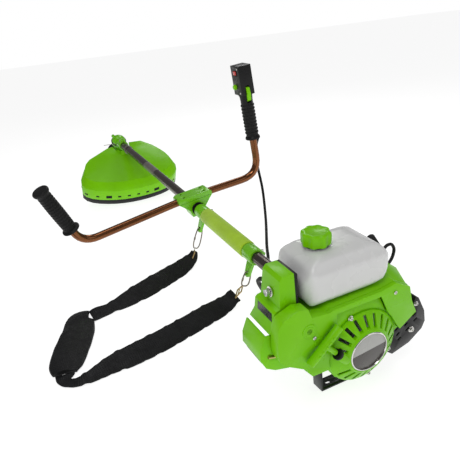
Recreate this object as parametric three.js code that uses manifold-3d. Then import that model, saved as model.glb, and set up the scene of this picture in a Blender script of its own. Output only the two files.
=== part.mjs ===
// Brush cutter with a rear two-stroke engine, a straight shaft and a bicycle handlebar.
// Millimetres, +Z up. The machine is drawn in its own frame, with X along the crankshaft and the drive
// shaft towards the cutting head, Y to the operator's left and its origin on the recoil cover's badge.
// It then stands on the floor on its engine stand and the guard's skirt, so the shaft rises by PITCH.
// The finished frame has its origin under the middle of the stand's foot.

import * as THREE from 'three';
import { mergeVertices } from 'three/addons/utils/BufferGeometryUtils.js';
import Module from 'manifold-3d';

const wasm = await Module();
wasm.setup();

// ---- driving dimensions -------------------------------------------------------------------------

const PITCH = THREE.MathUtils.degToRad(4.6);   // rise of the shaft when the machine rests on the floor
const FOOT = [68, 0, -104];                  // middle of the stand's foot in the machine's frame
const GAP = 0.3;                             // clearance between pieces that touch
const WALL = 2.5;                            // moulded shells
const FINEST_EDGE = 0.03;                    // shorter edges left by a cut are merged away

const TUBE = { r: 14, wall: 1.6, start: 188, end: 1556 };
const DRIVE_R = 4;

const COVER_X = 22;                          // rear face of the engine cover
const COVER_DEPTH = 74;
const RECOIL = { rim: 38.5, base: 67, depth: 20 };
const RECOIL_FACE = COVER_X - GAP - RECOIL.depth;
const PULL = { x: 8.8, hole: [48, 5], dir: [0.675, 0.738] };   // starter rope: exit point and direction
const CRANK_X = 112;                         // middle of the cylinder along the crankshaft
const CYLINDER_LEAN = THREE.MathUtils.degToRad(50);
const BORE_R = 20;

const TANK = { x0: 26, x1: 130, wall: 2 };
const CAP = { x: 80, y: 47, z: 176, r: 24, height: 24 };

const BAR = { x: 740, lift: 27.5, r: 10.5, wall: 1.6, roll: THREE.MathUtils.degToRad(7) };
const HANGERS = { front: 678, rear: 396, width: 40, lugRoll: THREE.MathUtils.degToRad(20) };
const FOAM = { x0: 419, x1: 656, r: 21 };

const HEAD = { x: 1590, tilt: THREE.MathUtils.degToRad(30) };
const HOOK_WIRE = 1.8;

// ---- looks --------------------------------------------------------------------------------------

const look = (color, roughness = 0.45, metalness = 0) => ({ color, roughness, metalness });
const GREEN = look(0x5fd00a, 0.35);
const BLACK = look(0x151515, 0.55);
const RUBBER = look(0x101010, 0.85);
const WHITE = look(0xdedede, 0.4);
const STEEL = look(0xa8a8a8, 0.35, 1);
const CAST = look(0x9a9b9c, 0.55, 0.9);
const BRONZE = look(0x4a2a1a, 0.3, 0.8);
const WEB = look(0x121212, 0.9);
const RED = look(0xb01010, 0.4);
const FOAM_GREEN = look(0xa8d820, 0.8);
const GREY = look(0x8d8c88, 0.4);

// ---- solids -------------------------------------------------------------------------------------

function solid(geometry) {
  geometry.deleteAttribute('normal');
  geometry.deleteAttribute('uv');
  const merged = mergeVertices(geometry, 1e-4);
  const vertProperties = new Float32Array(merged.attributes.position.array);
  const triVerts = outwards(vertProperties, new Uint32Array(merged.index.array));
  return new wasm.Manifold(new wasm.Mesh({ numProp: 3, vertProperties, triVerts }));
}

// The same triangles, turned over if they enclose a negative volume.
function outwards(positions, triangles) {
  const corner = (i) => new THREE.Vector3().fromArray(positions, 3 * triangles[i]);
  let volume = 0;
  for (let i = 0; i < triangles.length; i += 3) {
    volume += corner(i).dot(corner(i + 1).cross(corner(i + 2)));
  }
  if (volume < 0) triangles.reverse();
  return triangles;
}

const join = (first, ...rest) => rest.reduce((sum, piece) => sum.add(piece), first);
const cut = (first, ...rest) => rest.reduce((left, piece) => left.subtract(piece), first);

// Bases that lay a flat shape (its x, its y, its extrusion) along the machine's axes.
const ALONG_X = new THREE.Matrix4().makeBasis(axis(0, 1, 0), axis(0, 0, 1), axis(1, 0, 0));
const ALONG_Y = new THREE.Matrix4().makeBasis(axis(1, 0, 0), axis(0, 0, 1), axis(0, -1, 0));

function axis(x, y, z) {
  return new THREE.Vector3(x, y, z);
}

function outline(points) {
  return new THREE.Shape(points.map(([x, y]) => new THREE.Vector2(x, y)));
}

const PLATE = { bevelEnabled: false, curveSegments: 5 };

// A plate whose outline is given as (y, z) and which runs from x0 to x1.
function plateX(points, x0, x1) {
  const shape = points instanceof THREE.Shape ? points : outline(points);
  const geometry = new THREE.ExtrudeGeometry(shape, { ...PLATE, depth: x1 - x0 });
  return solid(geometry.applyMatrix4(ALONG_X).translate(x0, 0, 0));
}

// A plate whose outline is given as (x, z) and which runs from y0 up to y1.
function plateY(points, y0, y1) {
  const shape = points instanceof THREE.Shape ? points : outline(points);
  const geometry = new THREE.ExtrudeGeometry(shape, { ...PLATE, depth: y1 - y0 });
  return solid(geometry.applyMatrix4(ALONG_Y).translate(0, y1, 0));
}

// A plate whose outline is given as (x, y) and which runs from z0 to z1.
function plateZ(points, z0, z1) {
  const shape = points instanceof THREE.Shape ? points : outline(points);
  const geometry = new THREE.ExtrudeGeometry(shape, { ...PLATE, depth: z1 - z0 });
  return solid(geometry.translate(0, 0, z0));
}

function box([x0, x1], [y0, y1], [z0, z1]) {
  const geometry = new THREE.BoxGeometry(x1 - x0, y1 - y0, z1 - z0);
  return solid(geometry.translate((x0 + x1) / 2, (y0 + y1) / 2, (z0 + z1) / 2));
}

// A turned piece: profile points are (distance along the axis, radius), closed onto the axis.
function turned(profile, segments = 24) {
  const points = profile.map(([along, radius]) => new THREE.Vector2(radius, along));
  return solid(new THREE.LatheGeometry(points, segments));
}

const rod = (r, x0, x1, segments = 24) => lieAlongX(turned([[x0, 0], [x0, r], [x1, r], [x1, 0]], segments));

// Turned pieces stand on Y. These lay them on the machine's X, on Z, or on any direction from a point.
function lieAlongX(piece) {
  return piece.rotate([0, 0, -90]);
}

function aim(piece, from, direction) {
  const turn = new THREE.Quaternion().setFromUnitVectors(axis(0, 1, 0), axis(...direction).normalize());
  const matrix = new THREE.Matrix4().makeRotationFromQuaternion(turn).setPosition(...from);
  return piece.transform(matrix.elements);
}

const rodTo = (r, from, direction, length, segments = 20) =>
  aim(turned([[0, 0], [0, r], [length, r], [length, 0]], segments), from, direction);

// A round bar or hose along a smooth curve through the points.
function sweep(points, r, { sides = 12, steps = 40, tension = 0.5 } = {}) {
  const path = new THREE.CatmullRomCurve3(points.map((p) => axis(...p)), false, 'catmullrom', tension);
  const ring = new THREE.Shape();
  for (let i = 0; i < sides; i++) {
    const angle = (2 * Math.PI * i) / sides;
    const [x, y] = [r * Math.cos(angle), r * Math.sin(angle)];
    if (i === 0) ring.moveTo(x, y);
    else ring.lineTo(x, y);
  }
  return solid(new THREE.ExtrudeGeometry(ring, { steps, extrudePath: path, bevelEnabled: false }));
}

// A bent bar: straight runs between the corners, each corner rounded by the same radius.
function bentPath(points, radius, perBend = 5) {
  const out = [points[0]];
  for (let i = 1; i < points.length - 1; i++) {
    const corner = axis(...points[i]);
    const before = axis(...points[i - 1]).sub(corner).normalize();
    const after = axis(...points[i + 1]).sub(corner).normalize();
    const half = before.angleTo(after) / 2;
    const reach = radius / Math.tan(half);
    const start = corner.clone().addScaledVector(before, reach);
    const end = corner.clone().addScaledVector(after, reach);
    const bend = new THREE.QuadraticBezierCurve3(start, corner, end);
    bend.getPoints(perBend).forEach((p) => out.push(p.toArray()));
  }
  out.push(points[points.length - 1]);
  return out;
}

// A tube of straight pieces along a bent path, with mitred rings that never twist.
function pipe(path, r, sides = 12) {
  const points = path.map((p) => axis(...p));
  const positions = [];
  const index = [];
  const first = points[1].clone().sub(points[0]).normalize();
  let side = Math.abs(first.y) < 0.9 ? axis(0, 1, 0) : axis(1, 0, 0);
  points.forEach((point, i) => {
    const back = points[Math.max(i - 1, 0)];
    const ahead = points[Math.min(i + 1, points.length - 1)];
    const along = ahead.clone().sub(back).normalize();
    side = side.clone().addScaledVector(along, -side.dot(along)).normalize();
    const up = along.clone().cross(side);
    for (let k = 0; k < sides; k++) {
      const angle = (2 * Math.PI * k) / sides;
      const p = point.clone().addScaledVector(side, r * Math.cos(angle)).addScaledVector(up, r * Math.sin(angle));
      positions.push(p.x, p.y, p.z);
    }
  });
  for (let i = 0; i < points.length - 1; i++) {
    for (let k = 0; k < sides; k++) {
      const [a, b] = [i * sides + k, i * sides + ((k + 1) % sides)];
      index.push(a, b, b + sides, a, b + sides, a + sides);
    }
  }
  const last = (points.length - 1) * sides;
  for (let k = 1; k < sides - 1; k++) {
    index.push(0, k + 1, k, last, last + k, last + k + 1);
  }
  const geometry = new THREE.BufferGeometry();
  geometry.setAttribute('position', new THREE.Float32BufferAttribute(positions, 3));
  geometry.setIndex(index);
  return solid(geometry);
}

// A flat band through the points, each (x, y, z, half width), with its width across the floor plan.
function ribbon(points, thickness) {
  const centre = points.map(([x, y, z]) => axis(x, y, z));
  const positions = [];
  const index = [];
  centre.forEach((point, i) => {
    const along = centre[Math.min(i + 1, centre.length - 1)].clone().sub(centre[Math.max(i - 1, 0)]);
    const across = axis(-along.y, along.x, 0).normalize().multiplyScalar(points[i][3]);
    for (const [side, lift] of [[-1, 0], [1, 0], [1, thickness], [-1, thickness]]) {
      positions.push(point.x + side * across.x, point.y + side * across.y, point.z + lift);
    }
  });
  for (let i = 0; i < centre.length - 1; i++) {
    for (let k = 0; k < 4; k++) {
      const [a, b] = [i * 4 + k, i * 4 + ((k + 1) % 4)];
      index.push(a, b + 4, b, a, a + 4, b + 4);
    }
  }
  const last = (centre.length - 1) * 4;
  index.push(0, 1, 2, 0, 2, 3, last, last + 2, last + 1, last, last + 3, last + 2);
  const geometry = new THREE.BufferGeometry();
  geometry.setAttribute('position', new THREE.Float32BufferAttribute(positions, 3));
  geometry.setIndex(index);
  return solid(geometry);
}

// The outline moved inwards by t, for the inside of a shell. Points run anticlockwise.
function inset(points, t) {
  const count = points.length;
  return points.map((point, i) => {
    const before = points[(i + count - 1) % count];
    const after = points[(i + 1) % count];
    const n1 = new THREE.Vector2(before[1] - point[1], point[0] - before[0]).normalize();
    const n2 = new THREE.Vector2(point[1] - after[1], after[0] - point[0]).normalize();
    const mid = n1.clone().add(n2).normalize();
    const reach = t / Math.max(mid.dot(n1), 0.4);
    return [point[0] + mid.x * reach, point[1] + mid.y * reach];
  });
}

// A solid through loops of points, each loop a list of (x, y, z) with the same count, capped at both ends.
function loft(loops) {
  const count = loops[0].length;
  const positions = loops.flat(2);
  const index = [];
  for (let i = 0; i < loops.length - 1; i++) {
    for (let k = 0; k < count; k++) {
      const [a, b] = [i * count + k, i * count + ((k + 1) % count)];
      index.push(a, b, b + count, a, b + count, a + count);
    }
  }
  const normal = new THREE.Vector3();
  const first = loops[0].map((p) => axis(...p));
  first.forEach((p, k) => normal.add(p.clone().cross(first[(k + 1) % count])));
  const drop = ['x', 'y', 'z'].find((key) => Math.abs(normal[key]) === Math.max(
    Math.abs(normal.x), Math.abs(normal.y), Math.abs(normal.z)));
  const [u, v] = ['x', 'y', 'z'].filter((key) => key !== drop);
  const faces = (loop) => THREE.ShapeUtils.triangulateShape(
    loop.map((p) => axis(...p)).map((p) => new THREE.Vector2(p[u], p[v])), []);
  const base = (loops.length - 1) * count;
  const firstFaces = faces(loops[0]);
  const lastFaces = faces(loops[loops.length - 1]);
  firstFaces.forEach(([a, b, c]) => index.push(...facing(first, a, b, c, normal, -1)));
  const last = loops[loops.length - 1].map((p) => axis(...p));
  lastFaces.forEach(([a, b, c]) => index.push(...facing(last, a, b, c, normal, 1).map((i) => i + base)));
  const geometry = new THREE.BufferGeometry();
  geometry.setAttribute('position', new THREE.Float32BufferAttribute(positions, 3));
  geometry.setIndex(index);
  return solid(geometry);
}

// The three corners, ordered so that their normal lies along sign times the given normal.
function facing(points, a, b, c, normal, sign) {
  const turn = points[b].clone().sub(points[a]).cross(points[c].clone().sub(points[a]));
  return turn.dot(normal) * sign > 0 ? [a, b, c] : [a, c, b];
}

function rounded(x0, x1, y0, y1, r) {
  const shape = new THREE.Shape();
  shape.moveTo(x0 + r, y0).lineTo(x1 - r, y0).absarc(x1 - r, y0 + r, r, -Math.PI / 2, 0);
  shape.lineTo(x1, y1 - r).absarc(x1 - r, y1 - r, r, 0, Math.PI / 2);
  shape.lineTo(x0 + r, y1).absarc(x0 + r, y1 - r, r, Math.PI / 2, Math.PI);
  shape.lineTo(x0, y0 + r).absarc(x0 + r, y0 + r, r, Math.PI, 1.5 * Math.PI);
  return shape;
}

// ---- the scene graph ----------------------------------------------------------------------------

const product = new THREE.Group();           // the floor's frame
const machine = new THREE.Group();           // the machine's frame
machine.rotation.y = -PITCH;
machine.position.copy(axis(...FOOT).applyAxisAngle(axis(0, 1, 0), -PITCH).negate());
product.add(machine);

function add(name, piece, style, parent = machine) {
  const { vertProperties, triVerts } = piece.simplify(FINEST_EDGE).getMesh();
  const geometry = new THREE.BufferGeometry();
  geometry.setAttribute('position', new THREE.Float32BufferAttribute(vertProperties, 3));
  geometry.setIndex(Array.from(triVerts));
  const mesh = new THREE.Mesh(geometry, new THREE.MeshStandardMaterial(style));
  mesh.name = name;
  parent.add(mesh);
}

// ---- engine: starter ----------------------------------------------------------------------------

const [PULL_Y, PULL_Z] = PULL.hole;
const [PULL_DY, PULL_DZ] = PULL.dir;
const pullPoint = (s) => [PULL.x, PULL_Y + s * PULL_DY, PULL_Z + s * PULL_DZ];
const pullDirection = [0, PULL_DY, PULL_DZ];

function recoilCover() {
  const { rim, base, depth } = RECOIL;
  const front = COVER_X - GAP;
  const back = front - depth;
  const outer = lieAlongX(turned([[back, 0], [back, rim], [front - 3, base], [front, base], [front, 0]], 24));
  const inner = lieAlongX(turned([[back + 4, 0], [back + 4, rim - 6], [front - 3, base - 4],
    [front + 1, base - 4], [front + 1, 0]], 24));
  const recess = rod(36.5, back - 1, back + 1.6, 32);
  let cover = cut(outer, inner);
  const slot = box([back - 5, front - 4], [42, 62.5], [-3, 3]);
  for (let angle = 18; angle < 340; angle += 18) {
    cover = cover.subtract(slot.rotate([angle, 0, 0]));
  }
  const guide = rodTo(8.5, pullPoint(-12), pullDirection, 24, 20);
  const passage = rodTo(5, pullPoint(-22), pullDirection, 44, 16);
  const post = rod(5, back + 3, front - 3, 20);
  return cut(join(cover, guide, post), passage, recess, rod(3, back + 6, front, 16));
}

function starterPulley() {
  const groove = 29;
  const x = PULL.x;
  const wheel = lieAlongX(turned([[x - 2.6, 0], [x - 2.6, groove + 2], [x - 1, groove], [x + 1, groove],
    [x + 2.6, groove + 2], [x + 2.6, 0]], 24));
  const dogs = join(rod(14, x + 2, x + 8, 24), rod(9, x + 2, x + 10, 24));
  return cut(join(wheel, dogs), rod(5.1, x - 5, x + 12, 24));
}

function starterHandle() {
  const grip = rodTo(7.2, [PULL.x - 2, 0, 0], [0, -PULL_DZ, PULL_DY], 74, 16)
    .translate([0, PULL_Y + 52 * PULL_DY + 37 * PULL_DZ, PULL_Z + 52 * PULL_DZ - 37 * PULL_DY]);
  const flat = grip.intersect(box([PULL.x - 9, PULL.x + 3], [0, 200], [-100, 200]));
  const stem = rodTo(4.8, pullPoint(20), pullDirection, 31, 16);
  return cut(join(flat, stem), rodTo(2.1, pullPoint(5), pullDirection, 34, 12));
}

const starterRope = () => rodTo(1.8, pullPoint(-14), pullDirection, 52, 10);

// ---- engine: cover, fan and crankcase -----------------------------------------------------------

// Outlines as (y, z), seen from the rear. The cowl over the cylinder widens from its rear to its front.
const COVER_OUTLINE = [[110, -4], [110, 60], [103, 69], [84, 90], [60, 96], [-30, 97], [-62, 102], [-92, 85],
  [-99, 55], [-111, 28], [-63, -4], [-45, -52], [0, -69], [52, -45], [62, -18], [100, -17]];
const COWL_REAR = [[20, 96.5], [-30, 97], [-60, 101], [-76, 95], [-92, 85], [-99, 55], [-110, 28],
  [-70, 0], [20, 0]];
const COWL_FRONT = [[20, 96.5], [-30, 97], [-60, 103], [-76, 106], [-108, 90], [-118, 56], [-113, 34],
  [-72, 6], [20, 6]];
const SIDE_BLOCK = [[58, -16], [100, -2], [116, 6], [148, 26], [157, 38], [160, 52], [158, 94], [150, 107],
  [124, 117], [106, 113], [100, 96], [60, 92]];
const RECESS = [[-140, -90], [-50, 45], [-32, 86], [54, 86], [56, -20], [52, -90]];
const COWL_X = { rear: COVER_X + 4, wide: 66, front: 148 };

// A shell between outlines given at several stations along X.
function loftX(stations) {
  return loft(stations.map(([x, points]) => points.map(([y, z]) => [x, y, z])));
}

function engineCover() {
  const [back, front] = [COVER_X, COVER_X + COVER_DEPTH];
  const { rear, wide, front: end } = COWL_X;
  const cowl = (t, grow) => loftX([[rear, inset(COWL_REAR, t)], [wide, inset(COWL_FRONT, t)],
    [end + grow, inset(COWL_FRONT, t)]]);
  const recess = join(plateX(RECESS, back - 9, back), rod(68.5, back - 9, back, 32));
  const proud = cut(plateX(inset(COVER_OUTLINE, 1), back - 7, back + 1), recess);
  const under = plateX([[30, 93.5], [-20, 93.5], [-40, 60], [-64, 10], [-52, -6], [30, -6]], rear, end + 1);
  const hollow = join(plateX(inset(COVER_OUTLINE, WALL), back + WALL, front + 1), cowl(WALL, 1), under);
  const proudHollow = cut(plateX(inset(COVER_OUTLINE, 3.5), back - 4.5, back + 4),
    join(plateX(RECESS, back - 9, back + WALL), rod(71, back - 9, back + WALL, 32)));
  const blockFront = back + 14.5;
  const block = plateX(SIDE_BLOCK, back - 7, blockFront);
  const blockHollow = plateX(inset(SIDE_BLOCK, WALL), back - 7 + WALL, blockFront + 1);
  const fanMouth = rod(62, back - 2, back + 4, 32);
  const exhaustGap = box([90, end + 1], [-112, -40], [-20, 40]).intersect(
    plateX([[-130, 56], [-60, 8], [-60, -30], [-130, -30]], 80, end + 1));
  const openFront = plateX([[-40, 20], [70, 20], [70, -90], [-40, -90]], front - 1, end + 2);
  const plugRing = cut(rod(8, back - 8, back - 6, 20), rod(6.3, back - 10, back - 7.4, 20));
  const main = cut(join(plateX(COVER_OUTLINE, back, front), cowl(0, 0), proud), proudHollow);
  const shell = cut(join(main, cut(block, rod(68.5, 0, back, 32))), hollow, blockHollow);
  return cut(join(shell, plugRing.translate([0, 88, 48])), fanMouth, exhaustGap, openFront, carburettorRoom(),
    onCylinder(15, 104, 170));
}

// The cover is cut away round the carburettor.
const carburettorRoom = () => box([86, 122], [48, 120], [46, 94]);

function flywheelFan() {
  let fan = join(rod(57, 36, 40, 24), rod(16, 34, 62, 16));
  const blade = box([39, 55], [24, 56], [-1.2, 1.2]);
  for (let k = 0; k < 12; k++) fan = fan.add(blade.translate([0, 0, 6]).rotate([k * 30, 0, 0]));
  return fan.subtract(rod(7.8, 30, 70, 24));
}

function crankshaft() {
  const web = (x0, x1) => join(rod(28, x0, x1, 32));
  const journal = (x0, x1) => rod(7.5, x0, x1, 24);
  const pin = rod(6, 103, 121, 20).translate([0, 0, 17]);
  return join(journal(24, 98), web(97, 104), pin, web(120, 127), journal(126, 158));
}

function crankcase() {
  const body = lieAlongX(turned([[82, 0], [82, 24], [90, 46], [140, 46], [145.7, 46], [145.7, 0]], 24));
  const deck = leaned(box([CRANK_X - 26, CRANK_X + 28], [-27, 27], [10, 51]));
  const intake = box([92, 116], [16, 51.5], [20, 89]);
  const lugs = box([100, 140], [-48, 48], [-48.5, -34]);
  const chamber = rod(31, 95, 129, 32);
  const shaftHole = rod(7.8, 70, 160, 24).rotate([5, 0, 0]);
  const bore = onCylinder(BORE_R + 3.4, 0, 60, 28);
  const throat = rodTo(9, [104, 60, 77], [0, -1, 0], 32, 16);
  return cut(join(body, deck, intake, lugs), chamber, shaftHole, bore, throat);
}

const LEAN_DIRECTION = [0, -Math.sin(CYLINDER_LEAN), Math.cos(CYLINDER_LEAN)];
const outFromCrank = (dx, r) => [CRANK_X + dx, r * LEAN_DIRECTION[1], r * LEAN_DIRECTION[2]];

// Turned round the cylinder's axis, from r0 to r1 out from the crankshaft.
function onCylinder(r, r0, r1, segments = 20) {
  return rodTo(r, outFromCrank(0, r0), LEAN_DIRECTION, r1 - r0, segments);
}

const leaned = (piece) => piece.rotate([THREE.MathUtils.radToDeg(CYLINDER_LEAN), 0, 0]);

function cylinder() {
  let barrel = leaned(box([CRANK_X - 28, CRANK_X + 28], [-28, 28], [51.3, 57]));
  barrel = join(barrel, onCylinder(26, 51.3, 112, 24));
  for (let r = 64; r < 114; r += 9) {
    barrel = barrel.add(leaned(box([CRANK_X - 32, CRANK_X + 32], [-32, 32], [r, r + 2.4])));
  }
  const stub = leaned(box([CRANK_X - 16, CRANK_X + 12], [-76, -24], [74, 98]));
  const port = leaned(box([CRANK_X - 11, CRANK_X + 7], [-95, -15], [79, 93]));
  const skirt = onCylinder(BORE_R + 3, 40, 52, 28);
  const room = plateX(inset(CAN_OUTLINE, -GAP), 48, 122);
  return cut(join(barrel, cut(stub, room), skirt), onCylinder(BORE_R, 20, 106, 28), port,
    onCylinder(5.3, 100, 130, 20));
}

function piston() {
  const crown = onCylinder(BORE_R - 0.3, 66, 98, 28);
  const inside = onCylinder(BORE_R - 4, 60, 93, 24);
  const pin = rodTo(4.5, outFromCrank(-18, 80), [1, 0, 0], 36, 16);
  return join(cut(crown, inside), pin);
}

const ignitionCoil = () => box([38, 58], [-20, 20], [62, 76]).rotate([20, 0, 0]);

// ---- engine: cylinder head, plug and lead -------------------------------------------------------

function sparkPlug() {
  return join(onCylinder(5, 99, 112.4, 16), onCylinder(9.5, 112.3, 120, 6), onCylinder(5, 119, 140, 16));
}

function plugBoot() {
  const cap = onCylinder(9.5, 124, 150, 20);
  const tip = onCylinder(6.5, 149, 158, 16);
  const hood = rodTo(7.5, [CRANK_X, -112, 99], [0, 24, 37], 42, 16);
  return cut(join(cap, tip, hood), onCylinder(5.3, 120, 141, 16));
}

// ---- engine: fuel tank --------------------------------------------------------------------------

const TANK_REAR = [[88, 98], [97, 112], [97, 140], [86, 164], [62, 175], [-20, 176], [-46, 166],
  [-62, 145], [-64, 128], [-52, 114], [-24, 98]];
const TANK_SIDE = [[36, 97.5], [120, 97.5], [130, 106], [130, 152], [118, 172], [100, 177], [58, 177],
  [38, 170], [27, 152], [26, 110]];

function tankBody(t) {
  const rear = plateX(inset(TANK_REAR, t), TANK.x0, TANK.x1 + 1);
  const side = plateY(inset(TANK_SIDE, t), -80, 110);
  const plan = plateZ(rounded(TANK.x0 + t, TANK.x1 - t, -64 + t, 97 - t, 22), 90, 190);
  return rear.intersect(side).intersect(plan);
}

const onCap = (piece) => piece.rotate([90, 0, 0]).translate([CAP.x, CAP.y, 0]);

function fuelTank() {
  const neck = onCap(turned([[170, 0], [170, 17], [190, 17], [190, 0]], 28));
  const mouth = onCap(turned([[160, 0], [160, 14], [195, 14], [195, 0]], 28));
  return cut(join(tankBody(0), neck), tankBody(TANK.wall), mouth);
}

function fuelCap() {
  const { x, y, z, r, height } = CAP;
  const rim = new THREE.Shape();
  const lobes = 8;
  const steps = lobes * 4;
  for (let i = 0; i < steps; i++) {
    const angle = (2 * Math.PI * i) / steps;
    const radius = r - 1.3 + 1.3 * Math.cos(lobes * angle);
    const point = [x + radius * Math.cos(angle), y + radius * Math.sin(angle)];
    if (i === 0) rim.moveTo(...point);
    else rim.lineTo(...point);
  }
  const bottom = z + 1.5;
  const body = plateZ(rim, bottom, z + height);
  const thread = onCap(turned([[bottom - 1, 0], [bottom - 1, 17.4], [z + height - 3, 17.4],
    [z + height - 3, 0]], 28));
  return body.subtract(thread);
}

// ---- engine: intake -----------------------------------------------------------------------------

const FILTER_OUTLINE = [[111, 74], [160, 74], [151, 88], [149.5, 106], [146, 109.5], [139, 111], [136, 156],
  [131, 162], [111, 162]];
const FILTER_SIDE = [[38, 70], [102, 70], [98, 112], [93, 162], [44, 162], [40, 112]];

function filterCover() {
  const side = plateY(FILTER_SIDE, 100, 170);
  const inside = plateY(inset(FILTER_SIDE, WALL), 100, 170);
  const outer = plateX(FILTER_OUTLINE, 30, 110).intersect(side);
  const hollow = plateX(inset(FILTER_OUTLINE, WALL), 30, 110).intersect(inside);
  const open = box([36, 110], [108, 114], [78, 158]).intersect(inside);
  const hole = rodTo(3.3, [68, 150, 128], [0, -1, 0], 40, 16);
  return cut(outer, hollow, open, hole);
}

function filterBase() {
  const plate = plateY([[42, 77], [97, 73], [98, 64], [112, 64], [116, 90], [112, 118], [104, 128], [96, 160],
    [44, 160]], 105, 110.6);
  const post = rodTo(3, [68, 134, 128], [0, -1, 0], 26, 16);
  return cut(join(plate, post), rodTo(9, [104, 120, 77], [0, -1, 0], 30, 20));
}

const filterElement = () => cut(box([48, 90], [111, 130], [84, 152]), rodTo(3.4, [68, 150, 128], [0, -1, 0],
  50, 16));

const filterScrew = () => join(rodTo(2.8, [68, 148, 128], [0, -1, 0], 13.5, 16),
  rodTo(6, [68, 148, 128], [0, -1, 0], 7, 6));

function carburettor() {
  const body = box([90, 118], [62, 94], [63, 91]);
  const flanges = join(box([90, 118], [51.8, 56], [63, 91]), box([93, 115], [55, 63], [66, 88]),
    box([93, 115], [93, 104.7], [66, 88]));
  const bowl = rodTo(12, [104, 78, 64], [0, 0, -1], 10, 20);
  const shaft = rodTo(3, [117, 86, 77], [1, 0, 0], 6, 12);
  const throat = rodTo(9, [104, 110, 77], [0, -1, 0], 70, 16);
  return cut(join(body, flanges, bowl, shaft), throat);
}

function chokeLever() {
  const arm = plateX([[82, 72], [90, 72], [112, 100], [106, 104], [82, 84]], 119, 122);
  return cut(arm, rodTo(3.3, [100, 86, 77], [1, 0, 0], 40, 12));
}

function legGuard() {
  const outer = [[167, 72], [176, 50], [177, 30], [168, 12], [152, 2], [128, -4], [110.6, -4]];
  const inner = [[110.6, -1.2], [127, -1.2], [150, 4.6], [165.6, 13.5], [174, 31], [173.2, 50], [164.2, 71]];
  const shell = plateX([...outer, ...inner], 40, 100);
  const panel = plateX([[167, 72], [176, 50], [177, 30], [168, 12], [152, 2], [128, -4], [110.6, -4], [110.6, 40],
    [126, 69]], 40, 43);
  return join(shell, panel);
}

// ---- engine: exhaust ----------------------------------------------------------------------------

const MUFFLER_OUTLINE = [[-64, -9], [-110, 22], [-118, 32], [-122, 44], [-130, 40], [-146, 8], [-150, -16],
  [-144, -30], [-116, -50], [-78, -60], [-66, -50]];

const CAN_OUTLINE = [[-74, -14], [-110, 10], [-136, 4], [-141, -16], [-134, -26], [-112, -40], [-80, -50]];

function mufflerGuard() {
  const inner = inset(MUFFLER_OUTLINE, 2.2);
  const open = [[-50, 20], [-100, 52], ...inner.slice(3)];
  let shell = cut(plateX(MUFFLER_OUTLINE, 30, 128), plateX(open, 32.2, 140));
  const slot = box([20, 40], [-4, 4], [-1.6, 1.6]).rotate([-35, 0, 0]);
  for (let row = 0; row < 3; row++) {
    for (let k = 0; k < 3; k++) {
      shell = shell.subtract(slot.translate([0, -92 - 17 * k + 4 * row, -32 + 14 * k + 12 * row]));
    }
  }
  return shell;
}

function muffler() {
  const can = plateX(CAN_OUTLINE, 50, 120);
  const inside = plateX(inset(CAN_OUTLINE, 1.6), 52, 118);
  const inlet = leaned(box([CRANK_X - 11, CRANK_X + 7], [-100, -60], [79, 93]));
  return cut(can, inside, inlet);
}

// ---- engine: clutch and stand -------------------------------------------------------------------

function clutchHousing() {
  const bell = lieAlongX(turned([[146, 0], [146, 44], [176, 44], [198, 22], [232, 20], [232, 0]], 24));
  const inside = lieAlongX(turned([[140, 0], [140, 40], [174, 40], [180, 22], [185, 22], [185, 0]], 24));
  const ears = join(box([150, 174], [-50, 50], [-5, 5]), box([204, 228], [-6, 6], [-29, -16]));
  return cut(join(bell, ears), inside, rod(TUBE.r + GAP, 187.7, 240, 24), rod(9, 170, 200, 24),
    box([196, 240], [-1.2, 1.2], [-32, -10]));
}

function clutchShoes() {
  const hub = cut(rod(12, 150.5, 160, 24), rod(7.8, 140, 170, 24));
  const shoe = (sign) => cut(rod(33, 151, 159, 24), rod(20, 140, 170, 24),
    box([140, 170], [-50, 50], sign > 0 ? [-50, 6] : [-6, 50]));
  const arm = box([152, 158], [-3, 3], [-24, 24]);
  return join(hub, cut(arm, rod(9, 140, 170, 24)), shoe(1), shoe(-1));
}

function clutchDrum() {
  const cup = lieAlongX(turned([[148.5, 0], [148.5, 37], [171, 37], [171, 0]], 24));
  const inside = rod(34.5, 140, 167, 32);
  return cut(join(cut(cup, inside), rod(8, 168, 183, 24)), rod(DRIVE_R + GAP, 160, 190, 16));
}

function engineStand() {
  const t = 3;
  const [halfY, halfX, top, tab] = [54, 13, 49, 42];
  const profile = [[-halfY, 0], [halfY, 0], [halfY, top], [tab, top], [tab, top - t], [halfY - t, top - t],
    [halfY - t, t], [-halfY + t, t], [-halfY + t, top - t], [-tab, top - t], [-tab, top], [-halfY, top]];
  const hole = (y) => plateZ(rounded(-3, 3, y - 5, y + 5, 2.9), -1, t + 1);
  return cut(plateX(profile, -halfX, halfX), hole(33), hole(-33));
}

// ---- shaft --------------------------------------------------------------------------------------

function shaftTube() {
  return cut(rod(TUBE.r, TUBE.start, TUBE.end, 24), rod(TUBE.r - TUBE.wall, TUBE.start - 1, TUBE.end + 1, 24));
}

const driveShaft = () => rod(DRIVE_R, 161, 1566, 12);

const bush = (x) => cut(rod(TUBE.r - TUBE.wall - 0.2, x, x + 30, 20), rod(DRIVE_R + GAP, x - 1, x + 31, 16));

function hanger(x) {
  const half = HANGERS.width / 2;
  const collar = rod(19.5, x - half, x + half, 28);
  const lug = plateY([[x - 15, 0], [x + 15, 0], [x + 9, -52], [x + 4, -56], [x - 4, -56], [x - 9, -52]], -3.5, 3.5);
  const split = box([x - half - 1, x + half + 1], [-30, -10], [-0.8, 0.8]);
  const ears = box([x - 9, x + 9], [-27, -15], [-8, 8]);
  const hole = rodTo(5.6, [x, 20, -46], [0, -1, 0], 40, 20);
  const whole = cut(join(collar, lug, ears), hole, split, rod(TUBE.r + GAP, x - 40, x + 40, 24));
  return whole.rotate([THREE.MathUtils.radToDeg(HANGERS.lugRoll), 0, 0]);
}

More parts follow.
